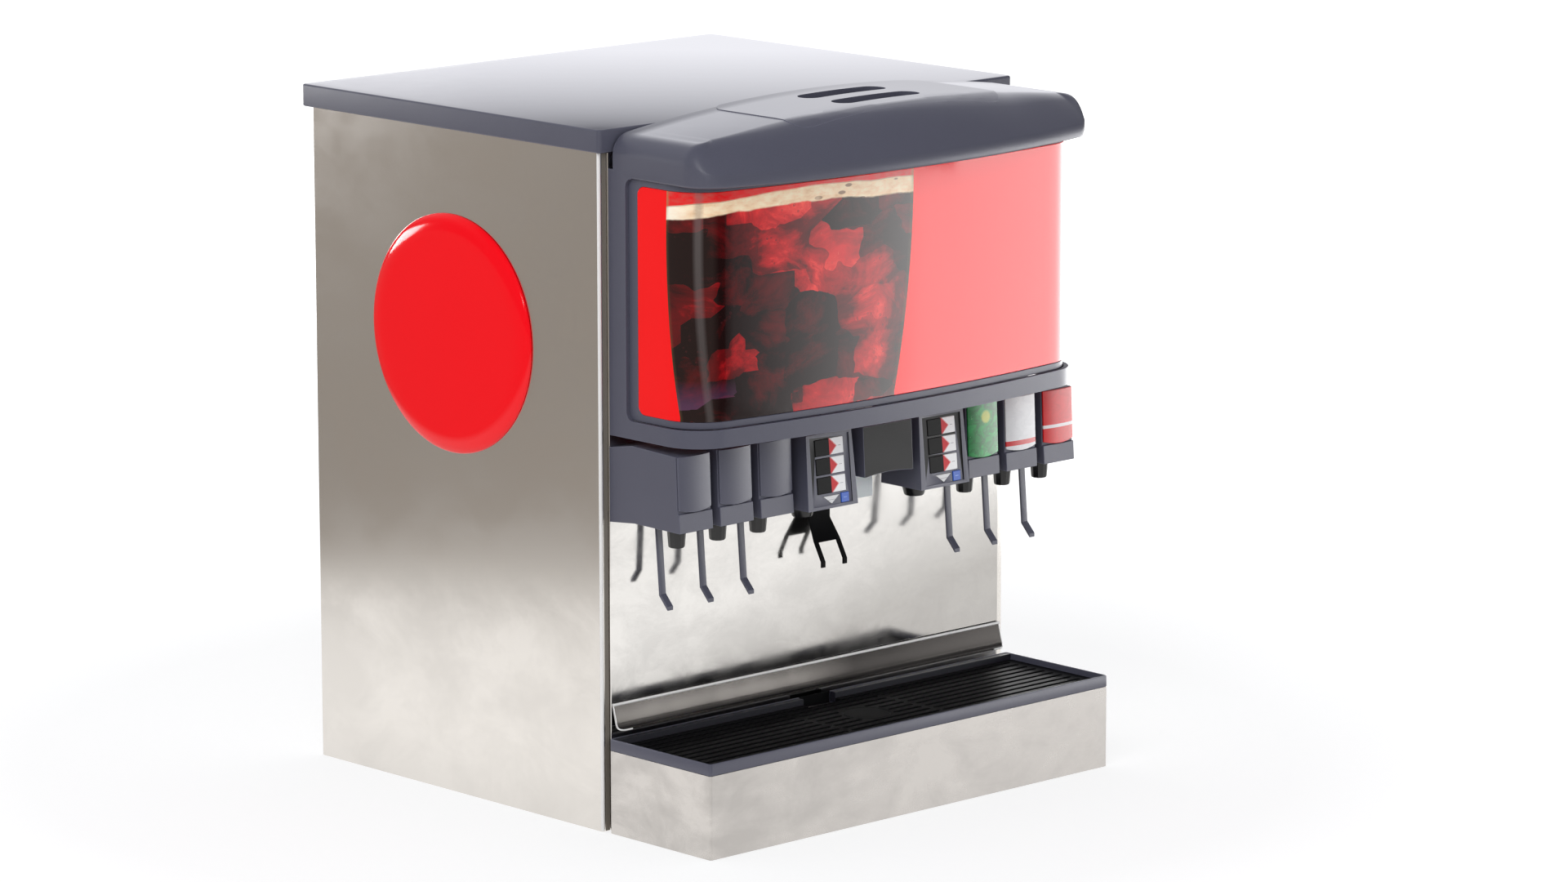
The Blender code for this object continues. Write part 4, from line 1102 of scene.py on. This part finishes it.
def build_nozzle(node, lip, shoulder, top, step, sides, flute=0.0, smooth=35):
    """Black nozzle: rounded lip, fluted taper, straight shoulder, then its stem."""
    lo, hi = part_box(node)
    x, y, radius = (lo.x + hi.x) / 2, (lo.y + hi.y) / 2, (hi.x - lo.x) / 2
    profile = lip + [(radius - 0.0006, shoulder - 0.0015), (radius, shoulder),
                     (radius, top), (0.01, top + step), (0.01, hi.z - lo.z)]
    rings = []
    for r, height in profile:
        ring = []
        for k in range(sides):
            a = 2 * pi * k / sides
            flat = 1.0 - flute * abs(sin(5 * a)) if height < shoulder else 1.0
            ring.append((x + r * flat * cos(a), y + r * flat * sin(a), lo.z + height))
        rings.append(ring)
    make(node + ".tip", loft(rings), "nozzle_black", smooth, node=node)


def build_modules():
    lip = [(0.0095, 0.01), (0.01, 0.001), (0.011, 0.0), (0.0128, 0.0004),
           (0.014, 0.0018)]
    normal = Vector((0.0, -cos(FACE_TILT), sin(FACE_TILT)))
    for i in MODULES:
        lo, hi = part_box(f"module_cover_{i}")
        x = (lo.x + hi.x) / 2

        def paint(face, x=x):
            """Grey for the recess's faces behind the front."""
            centre = face.calc_center_median()
            inside = abs(centre.x - x) < 0.038 and -0.4555 < centre.y < -0.4325
            facing = abs(face.normal.dot(normal)) > 0.98
            border = facing and (centre - Vector((x, -0.45275, 0.48175))).dot(normal) > -0.001
            return 1 if inside and not border else 0

        refine(f"module_cover_{i}", ["slate_plastic", "label_grey"], 0.0007, paint=paint)
        for row in (1, 2, 3):
            refine(f"selector_key_{i}_{row}", "selector_key", 0.0005, f"selector_{i}_{row}")
        refine(f"pour_key_{i}", "pour_key", 0.0004, f"pour_{i}")
        refine(f"water_key_{i}", "water_key", 0.0006, f"water_{i}")
        build_nozzle(f"module_nozzle_{i}", lip, 0.0165, 0.019, 0.0002, 56)


def build_centre():
    """Blank sign, chute, forked lever and gate in the middle of the row."""
    lo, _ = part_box("sign_cover")

    def paint(face):
        return 1 if face.normal.y < -0.98 and face.calc_center_median().y < lo.y + 0.006 else 0

    refine("sign_cover", ["slate_plastic", "label_grey"], 0.0008,
           bevel_mat=0, paint=paint)
    refine("ice_chute", "translucent_chute", 0.0006)
    refine("ice_lever", "black_plastic", 0.0004, "ice_lever")
    refine("ice_gate", "steel_rod", 0.0004, "ice_gate")


# ---- inside ----
def build_inside():
    refine("hopper_liner", "liner_plastic", 0.0012, segments=3)
    refine("foam_insulation", "foam", 0.001)
    refine("cold_plate", "cast_aluminium", 0.0012)
    refine("agitator_motor", "motor_paint", 0.002, segments=3)
    build_agitator()


def build_agitator():
    """Round bent rod, its bends swept as arcs."""
    lo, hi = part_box("agitator")
    x0, z = (lo.x + hi.x) / 2, (lo.z + hi.z) / 2
    radius = (hi.z - lo.z) / 2 - 0.0001
    reach = (hi.x - lo.x) / 2 - radius
    half = [(hi.y, 0), (0.178, 0), (0.166, 0), (0.162, 0.1), (0.158, 0.9), (0.152, 1),
            (0.04, 1), (0.034, 0.9), (0.03, 0.1), (0.024, 0)]
    steps = half + [(-y, -share) for y, share in reversed(half[1:])] + [(lo.y, 0)]
    points = smooth_path([(x0 + reach * share, y, z) for y, share in steps], 3)
    make("agitator_rod", tube(points, radius, 20, (0, 0, 1)), "steel_rod", 50,
         body="agitator", node="agitator")


# ---- floor, light, camera ----
def ray(graph, kind):
    return graph.node("LightPath", out=kind)


def build_stage():
    """Pale floor. Polished metal sees a bright pool of light on it with dim ground beyond."""
    bm = prism(rounded_rect(-30, 30, -30, 30, 2.0, 6), "z", -0.02, -0.0005)
    floor = new_object("floor", finish_mesh(bm, "floor", 30))
    g = Graph("floor")
    at = g.place()
    pool_middle, pool_edge = (0.6, -0.6, 0.0), (2.25, 2.75)
    pool = g.vector("DISTANCE", at, pool_middle, "Value")
    x, _, _ = g.split(at)
    dim = g.blend(g.remap(x, -1.2, 0.3), FAR_LEFT, FAR_RIGHT)
    near = g.blend(g.remap(x, -0.6, -0.35), POOL_LEFT, POOL)
    seen = g.blend(g.remap(pool, *pool_edge), near, dim)
    far = g.node("VectorMath", {0: at}, out="Value", operation="LENGTH")
    lift = g.remap(far, 0.9, 3.0, 0.68, 1.15)
    mirrored = g.node("Emission", {"Color": seen})
    direct = g.node("Emission", {"Color": (1, 1, 1, 1), "Strength": lift})
    white = g.node("BsdfDiffuse", {"Color": (0.46, 0.46, 0.46, 1)})
    shown = g.node("AddShader", {0: direct, 1: white})
    bounce = g.node("BsdfDiffuse", {"Color": (0.78, 0.775, 0.765, 1)})
    mix = g.node("MixShader", {0: ray(g, "Is Camera Ray"), 1: bounce, 2: shown})
    mix = g.node("MixShader", {0: ray(g, "Is Glossy Ray"), 1: mix, 2: mirrored})
    g.feed(g.tree.nodes["Material Output"], {"Surface": mix})
    g.mat.cycles.emission_sampling = "NONE"
    floor.data.materials.append(g.mat)


def panel_light(name, middle, aim, size, radiance, seen_by="GLOSSY", fade=None):
    """Soft box of a given radiance that may fade in along y."""
    data = bpy.data.lights.new(name, "AREA")
    data.shape = "RECTANGLE"
    data.size, data.size_y = size
    data.energy = radiance * pi * size[0] * size[1]
    light = new_object(name, data)
    light.location = middle
    light.rotation_euler = Vector(aim).to_track_quat("-Z", "Y").to_euler()
    light.visible_camera = False
    light.visible_diffuse = seen_by == "DIFFUSE"
    light.visible_glossy = seen_by == "GLOSSY"
    if fade:
        data.use_nodes = True
        g = Graph(name, data)
        _, y, _ = g.split(g.node("NewGeometry", out="Position"))
        level = g.remap(y, *fade)
        g.feed(g.tree.nodes["Emission"], {"Strength": level * level})


def build_light():
    """White room for matt surfaces; polished ones see a dim room, bright up at the back."""
    g = Graph("studio", bpy.data.worlds.new("studio"))
    g.mat.cycles.sampling_method = "NONE"
    bpy.context.scene.world = g.mat
    x, y, up = g.split(g.node("TexCoord", out="Generated"))
    dome = g.blend(g.remap(up, 0.0, 0.9), (1.06, 1.07, 1.1), (0.36, 0.37, 0.39))
    rear = g.remap(y + x * 0.4, 0.1, 0.8)
    rear = rear * g.remap(up, 0.16, 0.42)
    glossy = g.blend(rear, (0.11, 0.107, 0.11), (0.9, 0.9, 0.93))
    shown = g.blend(ray(g, "Is Camera Ray"), dome, (1.05, 1.05, 1.05))
    shown = g.blend(ray(g, "Is Glossy Ray"), shown, glossy)
    g.feed(g.tree.nodes["Background"], {"Color": shown, "Strength": 1.0})
    panel_light("right_low", (2.1, 0.6, 0.33), (-1, 0, 0), (5.6, 0.66), 5.2)
    panel_light("right_faint", (1.2, -3.2, 0.24), (-0.743, 0.669, 0), (2.69, 0.48), 5.2,
                fade=(-3.6, -2.35))
    panel_light("back_low", (1.4, 3.4, 0.6), (0, -1, 0), (2.2, 1.2), 3.0)
    panel_light("back_spot", (-1.8, 3.4, 1.0), (0, -1, 0), (1.4, 0.5), 15.0)
    panel_light("front_left_spot", (-3.0, -2.6, 2.3), (3.0, 2.6, -1.4), (0.7, 0.5), 14.0)
    panel_light("left_key", (-3.2, -2.2, 3.4), (3.2, 2.2, -3.0), (2.2, 2.2), 3.2, "DIFFUSE")


def build_camera():
    data = bpy.data.cameras.new("camera")
    data.sensor_width = 36.0
    data.lens = 146.5
    camera = new_object("camera", data)
    camera.location = (-5.9148, -6.5582, 2.179)
    camera.rotation_euler = (radians(90 - 11.12), radians(0.07), radians(-43.18))
    data.clip_end = 200.0
    bpy.context.scene.camera = camera
    bpy.context.scene.view_settings.view_transform = "Standard"


make_materials()
build_cabinet()
build_tray()
build_housing()
build_display()
build_valves()
build_modules()
build_centre()
build_inside()
build_stage()
build_light()
build_camera()
